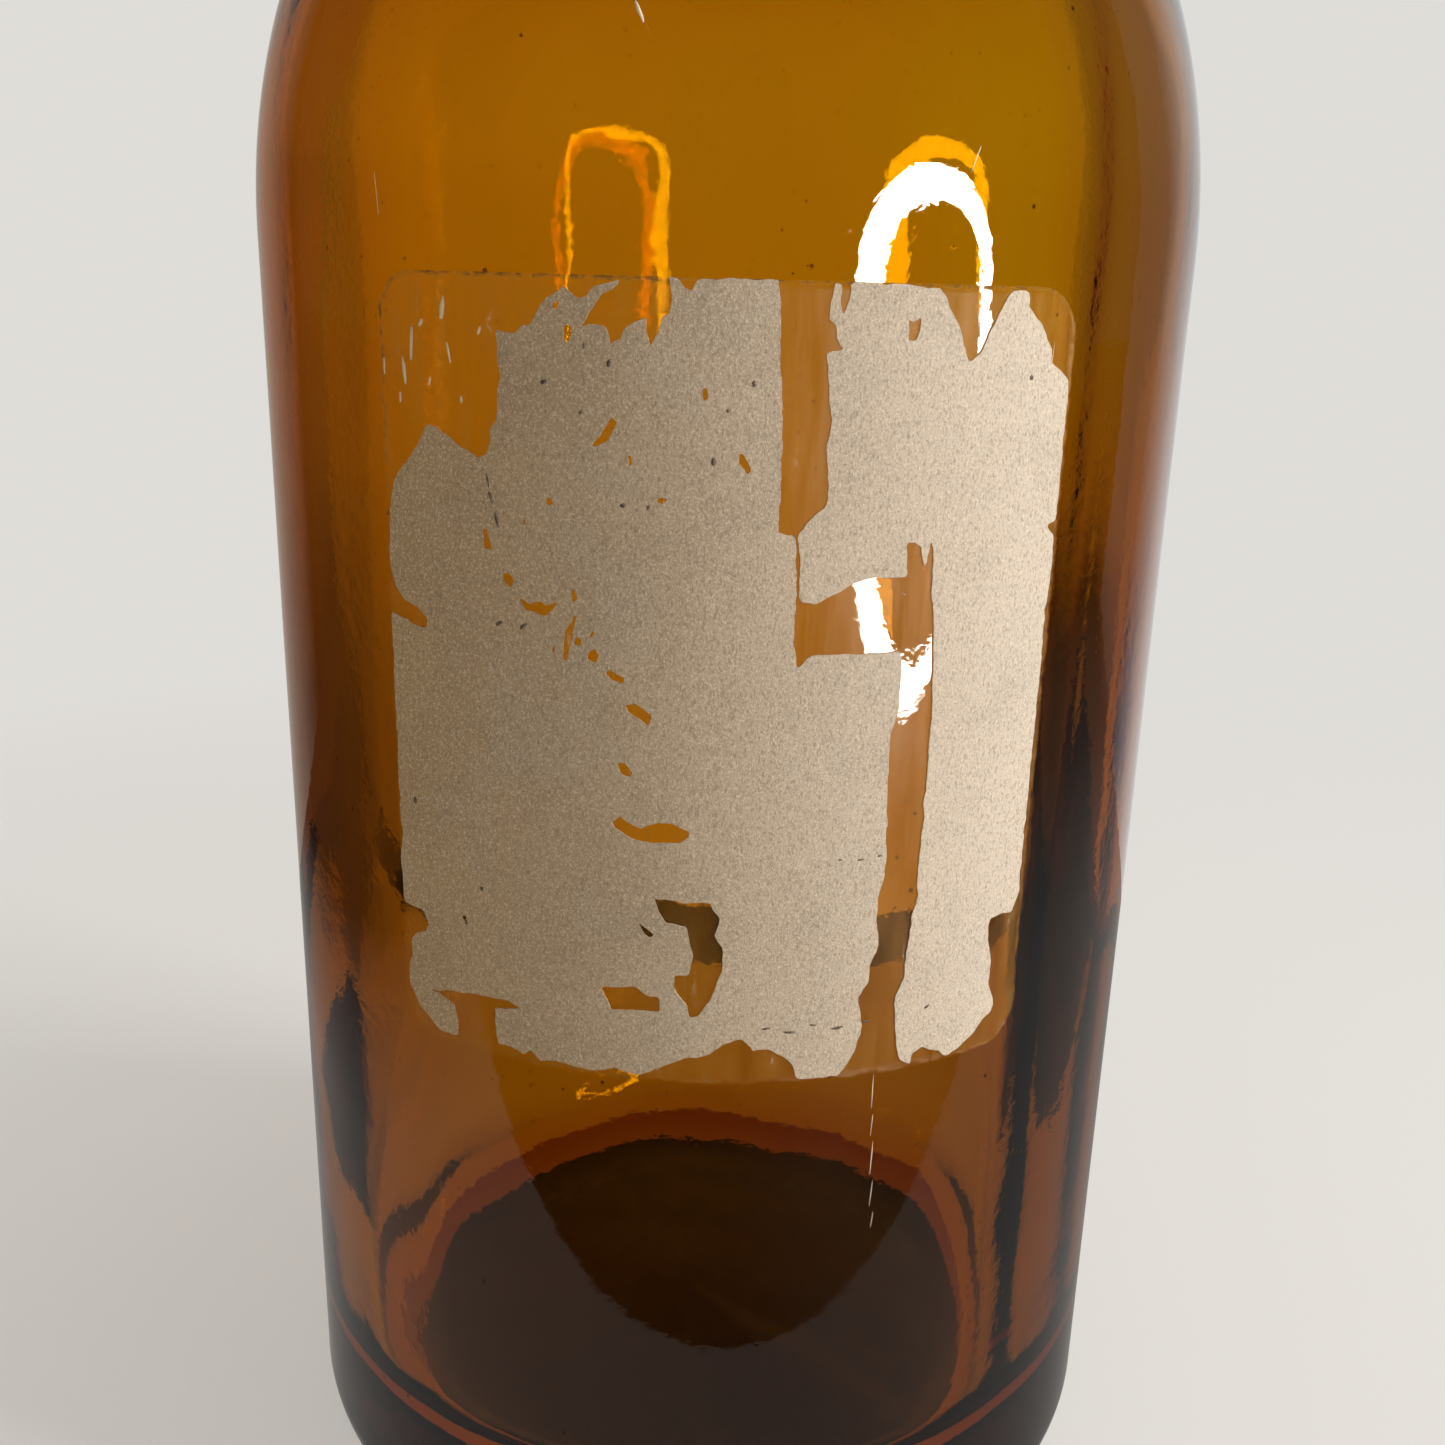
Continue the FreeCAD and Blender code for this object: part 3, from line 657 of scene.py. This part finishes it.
def outline_loops(node):
    """The closed outlines of a label node's front face, laid flat, as lists of points."""
    work = bmesh.new()
    work.from_mesh(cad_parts[node].data)
    bmesh.ops.remove_doubles(work, verts=work.verts, dist=1e-6)
    reach = max(math.hypot(v.co.x, v.co.y) for v in work.verts)
    hidden = [v for v in work.verts if math.hypot(v.co.x, v.co.y) < reach - 0.15 * MM]
    bmesh.ops.delete(work, geom=hidden, context="VERTS")
    links = {}
    for edge in work.edges:
        if len(edge.link_faces) == 1:
            first, second = edge.verts
            links.setdefault(first, []).append(second)
            links.setdefault(second, []).append(first)
    loops = []
    seen = set()
    for start in sorted(links, key=lambda v: v.index):
        if start in seen:
            continue
        loop = [start]
        seen.add(start)
        current = start
        while True:
            step = [v for v in links[current] if v not in seen]
            if not step:
                break
            current = step[0]
            seen.add(current)
            loop.append(current)
        loops.append([unwrap(v.co) for v in loop])
    work.free()
    return loops


def torn_line(loop, spacing):
    """An outline resampled finely, its corners eased, with small ragged teeth."""
    eased = []
    for first, second in zip(loop, loop[1:] + loop[:1]):
        if (second - first).length > 0.6 * MM:
            eased += [first.lerp(second, 0.2), first.lerp(second, 0.8)]
        else:
            eased.append(first.lerp(second, 0.5))
    points = []
    for first, second in zip(eased, eased[1:] + eased[:1]):
        steps = max(1, round((second - first).length / spacing))
        side = (second - first).normalized()
        across = Vector((side.y, -side.x, 0.0))
        for step in range(steps):
            point = first.lerp(second, step / steps)
            fray = noise.noise(Vector((point.x * 1100, point.y * 1100, 2.0))) * 0.16
            fray += noise.noise(Vector((point.x * 420, point.y * 420, 9.0))) * 0.22
            points.append(point + across * fray * MM)
    return points


def cut_grid(work, spacing):
    """Cut a flat sheet along even lines both ways so that it can bend."""
    for axis in (0, 1):
        low = min(v.co[axis] for v in work.verts)
        high = max(v.co[axis] for v in work.verts)
        normal = Vector((1, 0, 0)) if axis == 0 else Vector((0, 1, 0))
        for count in range(1, math.ceil((high - low) / spacing)):
            place = normal * (low + count * spacing)
            bmesh.ops.bisect_plane(work, geom=work.verts[:] + work.edges[:] + work.faces[:],
                                   plane_co=place, plane_no=normal, dist=1e-6)


def thicken(work, thickness):
    """Give a flat sheet a second side below, with no folds and all its faces outwards."""
    face_up(work)
    folded = {min(edge.link_faces, key=lambda face: face.calc_area()) for edge in work.edges
              if len(edge.link_faces) == 2 and not edge.is_contiguous}
    bmesh.ops.delete(work, geom=list(folded), context="FACES")
    for vertex in work.verts[:]:
        rim = [edge for edge in vertex.link_edges if edge.is_boundary]
        if len(rim) > 2:
            bmesh.utils.vert_separate(vertex, rim)
    bmesh.ops.solidify(work, geom=work.faces[:], thickness=-thickness)
    if work.calc_volume(signed=True) < 0:
        bmesh.ops.reverse_faces(work, faces=work.faces[:])


def face_up(work):
    """Turn every face of a flat sheet to look along +Z."""
    work.normal_update()
    under = [face for face in work.faces if face.normal.z < 0]
    if under:
        bmesh.ops.reverse_faces(work, faces=under)


def build_film():
    """The thin film of paste in the label's whole place."""
    around, below, corner = 49.2 * MM, 109.0 * MM, 7 * MM
    work = bmesh.new()
    corners = []
    for x, y, start in ((around - corner, LABEL_TOP - corner, 0),
                        (-around + corner, LABEL_TOP - corner, 90),
                        (-around + corner, LABEL_TOP - below + corner, 180),
                        (around - corner, LABEL_TOP - below + corner, 270)):
        corners += arc((x, y), corner, start, start + 90, 8)
    ring = [work.verts.new((x, y, 0.0)) for x, y in corners]
    work.faces.new(ring)
    cut_grid(work, 2.2 * MM)
    thicken(work, 0.02 * MM)
    for vertex in work.verts:
        rise = 0.03 * MM if vertex.co.z > 0.01 * MM else 0.01 * MM
        vertex.co = wrap(Vector((vertex.co.x, vertex.co.y, 0.0)), rise)
    return finish_piece("paste_film", work, [paste_film()], "bottle")


# Crumbs, scratches, specks and small holes: millimetres round from the front line,
# millimetres below the label's top, length, width, and lean in degrees from upright.
PASTE_CRUMBS = (
    (-37.0, 4.5, 2.6, 0.7, 8), (-42.3, 9.0, 4.4, 0.45, 4), (-43.7, 12.5, 3.2, 0.5, -6),
    (-47.4, 12.0, 2.0, 0.3, 0), (-31.5, 7.0, 1.2, 0.35, 20), (-40.6, 6.4, 1.0, 0.5, 30),
    (-36.2, 9.8, 2.4, 0.3, -12), (-44.6, 15.8, 1.5, 0.3, 0), (-39.4, 13.6, 1.1, 0.3, 15),
    (-34.4, 15.6, 0.9, 0.25, 0), (19.4, 10.2, 1.5, 1.0, 60), (18.2, 9.6, 0.8, 0.5, 20),
)
SCRATCHES = (
    (24.4, 111.5, 5.0, 0.14, 0), (24.6, 117.0, 3.6, 0.12, 3), (24.9, 122.6, 5.2, 0.14, 2),
    (25.2, 128.4, 4.0, 0.12, 4), (25.6, 133.2, 3.0, 0.10, 6), (44.9, 10.5, 7.0, 0.08, 4),
    (46.2, 19.0, 9.0, 0.08, 3), (47.0, 31.0, 6.0, 0.08, 2), (-47.6, -9.0, 5.0, 0.08, -5),
    (-2.3, -34.0, 4.0, 0.35, 30), (-10.7, -28.7, 2.4, 0.5, -25), (30.4, -14.5, 3.6, 0.10, 20),
)
PAPER_SPECKS = (
    (-14.0, 10.2, 1.0, 0.6, 20), (-22.5, 12.8, 0.9, 0.5, 70), (-17.2, 8.3, 0.6, 0.4, 0),
    (-17.6, 16.2, 0.6, 0.4, 40), (-12.2, 27.4, 0.9, 0.5, 80), (-9.0, 27.6, 0.6, 0.4, 0),
    (3.7, 12.1, 0.7, 0.6, 0), (0.6, 15.4, 0.5, 0.4, 0), (-1.0, 21.6, 0.9, 0.7, 10),
    (41.4, 11.2, 0.7, 0.5, 0), (-30.6, 25.4, 1.6, 0.3, -12), (-30.2, 27.6, 1.8, 0.35, -18),
    (-29.4, 30.4, 1.9, 0.4, -14), (-29.3, 44.0, 1.1, 0.5, 60), (-25.7, 44.0, 1.3, 0.5, 50),
    (-44.6, 71.7, 0.9, 0.6, 0), (-33.0, 82.5, 0.7, 0.6, 0), (-35.8, 88.3, 0.7, 0.5, 0),
    (17.5, 74.7, 0.6, 0.25, 90), (20.4, 74.9, 0.9, 0.25, 90), (23.2, 74.6, 0.7, 0.25, 90),
    (8.2, 99.6, 1.2, 0.3, 80), (11.4, 100.3, 1.6, 0.35, 95), (14.8, 99.4, 0.9, 0.3, 90),
    (18.3, 100.2, 1.8, 0.4, 84), (22.6, 99.7, 1.3, 0.35, 90), (32.2, 99.0, 0.9, 0.4, 60),
)


def crumbs(name, rows, stand_off, thickness, material):
    """Small ragged flat crumbs laid on the body, each with a rounded upper edge."""
    work = bmesh.new()
    for number, (around, below, long, wide, lean) in enumerate(rows):
        made = bmesh.ops.create_circle(work, cap_ends=True, segments=14, radius=1.0)["verts"]
        for vertex in made:
            ragged = 1 + 0.45 * noise.noise(Vector((vertex.co.x * 1.7, vertex.co.y * 1.7, number)))
            vertex.co *= ragged
        size = Matrix.Diagonal((wide / 2 * MM, long / 2 * MM, 1.0, 1.0))
        turn = Matrix.Rotation(math.radians(-lean), 4, "Z")
        place = Matrix.Translation((around * MM, LABEL_TOP - below * MM, 0.0))
        bmesh.ops.transform(work, matrix=place @ turn @ size, verts=made)
    thicken(work, thickness)
    for vertex in work.verts:
        rise = thickness if vertex.co.z > thickness / 2 else 0.0
        vertex.co = wrap(Vector((vertex.co.x, vertex.co.y, 0.0)), stand_off + rise)
    return finish_piece(name, work, [material], "bottle")


# Small holes in the left piece, as rows like those of the crumbs.
SMALL_HOLES = (
    (-21.9, 27.5, 0.9, 1.0, 0), (-18.3, 6.2, 3.0, 0.6, 62), (-20.8, 3.6, 1.3, 0.6, 30),
    (-11.9, 22.0, 1.4, 0.5, 12), (-7.2, 26.6, 1.2, 0.7, 80), (-13.6, 18.2, 1.1, 0.6, 40),
    (-25.4, 30.3, 1.0, 0.5, 10), (-18.7, 40.6, 1.5, 0.6, 0), (-21.5, 46.6, 1.2, 0.4, 15),
    (-9.4, 84.2, 1.2, 0.5, 60), (-36.1, 87.7, 0.8, 0.8, 0), (-12.8, 72.0, 0.7, 0.7, 0),
    (-16.2, 44.2, 1.1, 0.5, 35), (-24.2, 4.9, 1.0, 0.5, 70),
)


def hole_loop(row):
    """The outline of one small hole, laid flat."""
    around, below, long, wide, lean = row
    turn = Matrix.Rotation(math.radians(-lean), 3, "Z")
    middle = Vector((around * MM, LABEL_TOP - below * MM, 0.0))
    loop = []
    for step in range(9):
        angle = math.tau * step / 9
        reach = 1 + 0.25 * math.sin(3 * angle + below)
        loop.append(middle + turn @ Vector((math.cos(angle) * wide * reach * MM / 2,
                                            math.sin(angle) * long * reach * MM / 2, 0.0)))
    return loop


def small_holes(loops):
    """The small holes that stay clear of the outlines already there."""
    clearance = 0.9 * MM
    outline = KDTree(sum(len(loop) for loop in loops))
    for index, point in enumerate(point for loop in loops for point in loop):
        outline.insert(point, index)
    outline.balance()
    holes = [hole_loop(row) for row in SMALL_HOLES]
    return [hole for hole in holes
            if min(outline.find(point)[2] for point in hole) > clearance]


def build_label(node, material):
    """One torn piece of paper, cut to its outline, frayed, given thickness and wrapped."""
    spacing, thickness, stand_off = 0.45 * MM, 0.16 * MM, 0.05 * MM
    work = bmesh.new()
    loops = outline_loops(node)
    if node == "label_left":
        loops += small_holes(loops)
    for loop in loops:
        points = torn_line(loop, spacing)
        ring = [work.verts.new(point) for point in points]
        for first, second in zip(ring, ring[1:] + ring[:1]):
            work.edges.new((first, second))
    bmesh.ops.triangle_fill(work, use_beauty=True, use_dissolve=False, edges=work.edges[:],
                            normal=(0, 0, 1))
    cut_grid(work, 2.2 * MM)
    thicken(work, thickness)
    tear = work.verts.layers.float.new("tear")
    for vertex in work.verts:
        flat = Vector((vertex.co.x, vertex.co.y, 0.0))
        front = vertex.co.z > thickness / 2
        vertex[tear] = 0.0 if front else 1.0
        rise = stand_off
        if front:
            cockle = noise.noise(Vector((flat.x * 70, flat.y * 70, 0.0))) * 0.02 * MM
            rise += thickness + cockle
        vertex.co = wrap(flat, rise)
    piece = finish_piece(node + "_paper", work, [material], "bottle", 40)
    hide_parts(node)
    return piece


# ---------------------------------------------------------------- the stage

def plain_material(name, tone):
    material, tree, output = new_material(name)
    shader = add_node(tree, "ShaderNodeBsdfPrincipled", Roughness=0.75)
    shader.inputs["Base Color"].default_value = (*tone, 1.0)
    shader.inputs["Specular IOR Level"].default_value = 0.1
    tree.links.new(shader.outputs["BSDF"], output.inputs["Surface"])
    return material


def glow_material(name, tone, strength):
    material, tree, output = new_material(name)
    light = tree.nodes.new("ShaderNodeEmission")
    light.inputs["Color"].default_value = (*tone, 1.0)
    light.inputs["Strength"].default_value = strength
    tree.links.new(light.outputs["Emission"], output.inputs["Surface"])
    return material


def stage_piece(name, work, material):
    mesh = bpy.data.meshes.new(name)
    work.to_mesh(mesh)
    work.free()
    mesh.materials.append(material)
    piece = bpy.data.objects.new(name, mesh)
    bpy.context.scene.collection.objects.link(piece)
    return piece


def floor_material():
    """Pale matt floor that fades into the background away from the bottle, with dimmer glowing
    copies of its own, painted shade, where the glass mirrors it and where it is seen through the
    glass."""
    material, tree, output = new_material("floor_tone")
    matt = add_node(tree, "ShaderNodeBsdfDiffuse")
    matt.inputs["Color"].default_value = (*staging().floor_tone, 1.0)
    pale = add_node(tree, "ShaderNodeEmission")
    pale.inputs["Color"].default_value = (*staging().background, 1.0)
    path = tree.nodes.new("ShaderNodeLightPath")
    place = add_node(tree, "ShaderNodeVectorMath", operation="LENGTH")
    tree.links.new(object_coordinates(tree), place.inputs[0])
    away = map_range(tree, place.outputs["Value"], 0.10, 0.55, 0.55, 1.0)
    share = times(tree, away, path.outputs["Is Camera Ray"])
    mix = tree.nodes.new("ShaderNodeMixShader")
    tree.links.new(share, mix.inputs[0])
    tree.links.new(matt.outputs["BSDF"], mix.inputs[1])
    tree.links.new(pale.outputs["Emission"], mix.inputs[2])
    axes = tree.nodes.new("ShaderNodeSeparateXYZ")
    tree.links.new(object_coordinates(tree), axes.inputs["Vector"])
    right_fade = times(tree, map_range(tree, axes.outputs["X"], 0.30, 0.50, 1.0, 0.45),
                       map_range(tree, axes.outputs["X"], 0.50, 0.90, 1.0, 0.20))
    mirrored = times(tree, right_fade,
                     map_range(tree, axes.outputs["X"], -0.30, -0.17, 0.08, 1.0))
    far_left = map_range(tree, axes.outputs["X"], -1.6, -0.3, 1.0, 0.36)
    table = map_range(tree, axes.outputs["X"], -0.27, -0.24, 0.0, 1.0)
    seen = combine(tree, "MAXIMUM", far_left, table)
    shader = mix
    # Painted shade: where the glass mirrors the floor or looks through to it, the floor is
    # replaced by dimmer glowing copies, faded as set above.
    for ray, tone, strength in (("Is Glossy Ray", staging().mirrored_floor, mirrored),
                                ("Is Transmission Ray", staging().through_floor, seen)):
        dim = add_node(tree, "ShaderNodeEmission")
        dim.inputs["Color"].default_value = (*tone, 1.0)
        tree.links.new(strength, dim.inputs["Strength"])
        chosen = tree.nodes.new("ShaderNodeMixShader")
        tree.links.new(path.outputs[ray], chosen.inputs[0])
        tree.links.new(shader.outputs[0], chosen.inputs[1])
        tree.links.new(dim.outputs["Emission"], chosen.inputs[2])
        shader = chosen
    tree.links.new(shader.outputs["Shader"], output.inputs["Surface"])
    return material


def build_floor():
    work = bmesh.new()
    bmesh.ops.create_grid(work, x_segments=1, y_segments=1, size=6.0)
    return stage_piece("floor", work, floor_material())


def panel(name, width, height, centre, facing, material):
    """An upright panel whose middle is at the centre and which faces a direction."""
    work = bmesh.new()
    bmesh.ops.create_grid(work, x_segments=1, y_segments=1, size=0.5)
    turn = Vector(facing).to_track_quat("Z", "Y").to_matrix().to_4x4()
    size = Matrix.Diagonal((width, height, 1.0, 1.0))
    bmesh.ops.transform(work, matrix=Matrix.Translation(centre) @ turn @ size, verts=work.verts)
    piece = stage_piece(name, work, material)
    piece.visible_camera = False
    piece.visible_shadow = False
    return piece


def flat_sheet(name, corners, height, material):
    """A level sheet just over the floor, hidden from the camera and from the lamps."""
    work = bmesh.new()
    work.faces.new([work.verts.new((x, y, height)) for x, y in corners])
    piece = stage_piece(name, work, material)
    piece.visible_camera = False
    piece.visible_diffuse = False
    piece.visible_shadow = False
    return piece


def wall_material():
    """The pale wall. Through the glass it is warm and shaded low on the left, and yellower
    high on the right; as the glass mirrors it, it fades towards both sides."""
    material, tree, output = new_material("wall_glow")
    path = tree.nodes.new("ShaderNodeLightPath")
    place = tree.nodes.new("ShaderNodeSeparateXYZ")
    tree.links.new(object_coordinates(tree), place.inputs["Vector"])
    across, up = place.outputs["X"], place.outputs["Z"]
    tone = mix_colour(tree, map_range(tree, across, -0.20, 0.16, 0.0, 1.0),
                      staging().wall_left, staging().wall_right)
    amber = times(tree, map_range(tree, across, 0.02, 0.14, 0.0, 1.0),
                  map_range(tree, up, 0.10, 0.20, 0.0, 1.0))
    bent = path.outputs["Is Transmission Ray"]
    tone = mix_colour(tree, times(tree, amber, bent), tone, (0.75, 1.00, 0.75))
    tone = mix_colour(tree, bent, tone, (1.0, 0.86, 1.0), "MULTIPLY")
    height = map_range(tree, up, 0.05, 0.24, 0.42, 1.10)
    on_left = map_range(tree, across, -0.20, 0.0, 1.0, 0.0)
    lit = plus(tree, 1.0, times(tree, on_left,
                                minus(tree, height, 1.0)))
    lit = times(tree, lit, map_range(tree, across, -0.27, -0.25, 0.72, 1.0))
    past = map_range(tree, across, 0.25, 0.27, 0.0, 1.0)
    past_tone = map_range(tree, up, 0.05, 0.12, 0.14, 0.66)
    lit = plus(tree, times(tree, lit, minus(tree, 1.0, past)),
               times(tree, past, past_tone))
    fade = times(tree, map_range(tree, across, -0.50, -0.20, 0.03, 0.62),
                 map_range(tree, across, 0.26, 0.46, 1.0, 0.24))
    fade = times(tree, fade, map_range(tree, across, -0.20, 0.0, 1.0, 1.6))
    strength = mix_number(tree, bent, fade, lit)
    light = tree.nodes.new("ShaderNodeEmission")
    tree.links.new(tone, light.inputs["Color"])
    tree.links.new(strength, light.inputs["Strength"])
    tree.links.new(light.outputs["Emission"], output.inputs["Surface"])
    return material


# Painted shade: dark patches of floor and of what lies past the table, as corners in metres:
# they are seen only bent through the thick sides of the glass.
DARK_PATCHES = (
    ("gap_behind", ((-0.26, 0.182), (0.6, 0.182), (0.6, 0.222), (-0.26, 0.222))),
    ("dark_left", ((-0.135, -0.02), (-0.135, 0.05), (-0.155, 0.09), (-0.24, 0.09),
                   (-0.24, -0.02))),
    ("dark_right", ((0.150, 0.0), (0.185, 0.182), (0.26, 0.182), (0.30, 0.6), (1.0, 0.6),
                    (1.0, 0.0))),
)


def build_backdrop():
    """A pale wall close behind with a dark gap at its foot and dark sheets of painted shade, seen
    only in the glass.
    """
    piece = panel("backdrop", 1.40, 1.4, (0.14, 0.222, 0.70), (0, -1, 0), wall_material())
    piece.visible_diffuse = False
    # Painted shade: one near-black colour for the shaded gap, the dark floor patches and the front
    # edge.
    dark = plain_material("painted_shade_tone", (0.01, 0.01, 0.012))
    for name, corners in DARK_PATCHES:
        patch = flat_sheet(name, corners, 0.5 * MM, dark)
        patch.visible_glossy = False
    # Painted shade: a dark sheet past the table's front edge for the dark, shaded room in front,
    # seen only as the glass mirrors it.
    front = flat_sheet("front_edge", ((-3.0, -0.416), (-3.0, -3.0), (3.0, -3.0), (3.0, 0.131)),
                       0.6 * MM, dark)
    front.visible_transmission = False


def build_shade():
    """The shaded spot of floor under the bottle's base, seen only through the glass."""
    work = bmesh.new()
    bmesh.ops.create_circle(work, cap_ends=True, segments=64, radius=63 * MM)
    bmesh.ops.translate(work, vec=(0, 0, 0.3 * MM), verts=work.verts)
    piece = stage_piece("base_shade", work, plain_material("shade_tone", (0.012, 0.008, 0.006)))
    piece.visible_camera = False
    piece.visible_shadow = False


def build_ring_lamp():
    """An oval ring lamp at the right front, which gives the bright hoop on the glass."""
    bearing, distance = math.radians(46), 0.6
    outward = Vector((math.sin(bearing), -math.cos(bearing), 0.0))
    along = Vector((math.cos(bearing), math.sin(bearing), 0.0))
    work = bmesh.new()
    outer = bmesh.ops.create_circle(work, segments=96, radius=1.0)["verts"]
    inner = bmesh.ops.create_circle(work, segments=96, radius=1.0)["verts"]
    for ring, shift, middle, across, up in ((outer, -0.040, 0.175, 0.172, 0.174),
                                            (inner, -0.022, 0.160, 0.130, 0.132)):
        for vertex in ring:
            reach = along * (shift + vertex.co.x * across)
            vertex.co = outward * distance + reach + Vector((0, 0, middle + vertex.co.y * up))
    bmesh.ops.bridge_loops(work, edges=work.edges[:])
    piece = stage_piece("ring_lamp", work,
                        glow_material("ring_glow", (1.0, 0.97, 0.90), staging().ring))
    piece.visible_camera = False
    piece.visible_diffuse = False
    piece.visible_shadow = False


def build_world():
    """A pale room for the camera, soft fill for matt surfaces, and a room that is dark in
    front and bright behind for reflections and for what the glass lets through."""
    world = bpy.data.worlds.new("soft_room")
    world.use_nodes = True
    tree = world.node_tree
    path = tree.nodes.new("ShaderNodeLightPath")
    facing = tree.nodes.new("ShaderNodeTexCoord")
    axes = tree.nodes.new("ShaderNodeSeparateXYZ")
    tree.links.new(facing.outputs["Generated"], axes.inputs["Vector"])
    across = axes.outputs["X"]
    behind = map_range(tree, axes.outputs["Y"], -0.20, 0.25, 0.0, 1.0)
    side = map_range(tree, across, -0.3, 0.5, 0.02, 0.06)
    mirrored = plus(tree, 0.012, times(tree, behind, side))
    far = map_range(tree, across, -0.6, 0.6, 0.40, 0.50)
    through = plus(tree, 0.32, times(tree, behind,
                                                minus(tree, far, 0.32)))
    tone = mix_colour(tree, path.outputs["Is Glossy Ray"], staging().fill, mirrored)
    tone = mix_colour(tree, path.outputs["Is Transmission Ray"], tone, through)
    tone = mix_colour(tree, path.outputs["Is Camera Ray"], tone, staging().background)
    tree.links.new(tone, tree.nodes["Background"].inputs["Color"])
    bpy.context.scene.world = world


def build_lights():
    lamp = bpy.data.lights.new("key", "AREA")
    lamp.shape = "RECTANGLE"
    lamp.size = 0.5
    lamp.size_y = 0.5
    lamp.energy = staging().key
    holder = bpy.data.objects.new("key", lamp)
    bearing, rise, distance = math.radians(75), math.radians(25), 1.5
    aim = Vector((0.0, 0.0, 0.15))
    level = math.cos(rise) * distance
    place = aim + Vector((math.sin(bearing) * level, -math.cos(bearing) * level,
                          math.sin(rise) * distance))
    holder.location = place
    holder.rotation_mode = "QUATERNION"
    holder.rotation_quaternion = (place - aim).to_track_quat("Z", "Y")
    holder.visible_glossy = False
    holder.visible_transmission = False
    bpy.context.scene.collection.objects.link(holder)


def build_camera():
    """Eye level with the label's top edge, close in and looking down."""
    pitch = math.radians(17.12)
    roll = math.radians(1.55)
    yaw = math.radians(0.30)
    distance = 3.396 * BODY_RADIUS
    ahead = Vector((math.sin(yaw), math.cos(yaw), 0.0))
    side = Vector((math.cos(yaw), -math.sin(yaw), 0.0))
    forward = math.cos(pitch) * ahead - math.sin(pitch) * Vector((0, 0, 1))
    upward = math.sin(pitch) * ahead + math.cos(pitch) * Vector((0, 0, 1))
    right = math.cos(roll) * side + math.sin(roll) * upward
    top = -math.sin(roll) * side + math.cos(roll) * upward
    camera = bpy.data.objects.new("camera", bpy.data.cameras.new("camera"))
    camera.data.lens = 36.07
    camera.data.sensor_width = 36.0
    camera.data.clip_start = 0.01
    place = Vector((0.0, -distance, LABEL_TOP + 0.2 * MM))
    turn = Matrix((right, top, -forward)).transposed().to_4x4()
    camera.matrix_world = Matrix.Translation(place) @ turn
    bpy.context.scene.collection.objects.link(camera)
    bpy.context.scene.camera = camera


# ---------------------------------------------------------------- operators

class BOTTLE_OT_glass(bpy.types.Operator):
    """Build the amber glass bottle"""
    bl_idname = "bottle.glass"
    bl_label = "Glass bottle"

    def execute(self, context):
        build_bottle()
        return {"FINISHED"}


class BOTTLE_OT_stopper(bpy.types.Operator):
    """Build the ground-glass stopper"""
    bl_idname = "bottle.stopper"
    bl_label = "Stopper"

    def execute(self, context):
        build_stopper()
        return {"FINISHED"}


class BOTTLE_OT_label(bpy.types.Operator):
    """Build the torn pieces of the paper label"""
    bl_idname = "bottle.label"
    bl_label = "Label pieces"

    def execute(self, context):
        paper = old_paper()
        for node in ("label_left", "label_right"):
            build_label(node, paper)
        build_film()
        return {"FINISHED"}


class BOTTLE_OT_crumbs(bpy.types.Operator):
    """Build the crumbs of paste and the specks of dirt"""
    bl_idname = "bottle.crumbs"
    bl_label = "Crumbs and specks"

    def execute(self, context):
        pale = crumb_material("dried_paste", tints().flake, tints().paper_light)
        dark = crumb_material("dirt_speck", tints().dirt, tints().paper_dark)
        crumbs("paste_crumbs", PASTE_CRUMBS, 0.03 * MM, 0.10 * MM, pale)
        crumbs("glass_scratches", SCRATCHES, 0.01 * MM, 0.03 * MM, pale)
        crumbs("paper_specks", PAPER_SPECKS, 0.20 * MM, 0.05 * MM, dark)
        return {"FINISHED"}


class BOTTLE_OT_stage(bpy.types.Operator):
    """Set the floor, backdrop, lamps and camera"""
    bl_idname = "bottle.stage"
    bl_label = "Stage"

    def execute(self, context):
        build_floor()
        build_backdrop()
        build_shade()
        build_ring_lamp()
        build_world()
        build_lights()
        build_camera()
        context.scene.view_settings.view_transform = "Standard"
        return {"FINISHED"}


class BOTTLE_PT_panel(bpy.types.Panel):
    """Buttons for each piece and the stage"""
    bl_label = "Amber bottle"
    bl_idname = "BOTTLE_PT_panel"
    bl_space_type = "VIEW_3D"
    bl_region_type = "UI"
    bl_category = "Bottle"

    def draw(self, context):
        for name in STEPS:
            self.layout.operator("bottle." + name)


STEPS = ("glass", "stopper", "label", "crumbs", "stage")
CLASSES = (BottleSizes, FinishColours, StageSettings, BOTTLE_OT_glass, BOTTLE_OT_stopper,
           BOTTLE_OT_label, BOTTLE_OT_crumbs, BOTTLE_OT_stage, BOTTLE_PT_panel)


def register():
    for item in CLASSES:
        bpy.utils.register_class(item)
    bpy.types.Scene.bottle_sizes = PointerProperty(type=BottleSizes)
    bpy.types.Scene.bottle_tints = PointerProperty(type=FinishColours)
    bpy.types.Scene.bottle_stage = PointerProperty(type=StageSettings)


def unregister():
    del bpy.types.Scene.bottle_sizes
    del bpy.types.Scene.bottle_tints
    del bpy.types.Scene.bottle_stage
    for item in reversed(CLASSES):
        bpy.utils.unregister_class(item)


def main():
    register()
    for name in STEPS:
        getattr(bpy.ops.bottle, name)()


if __name__ == "__main__":
    main()
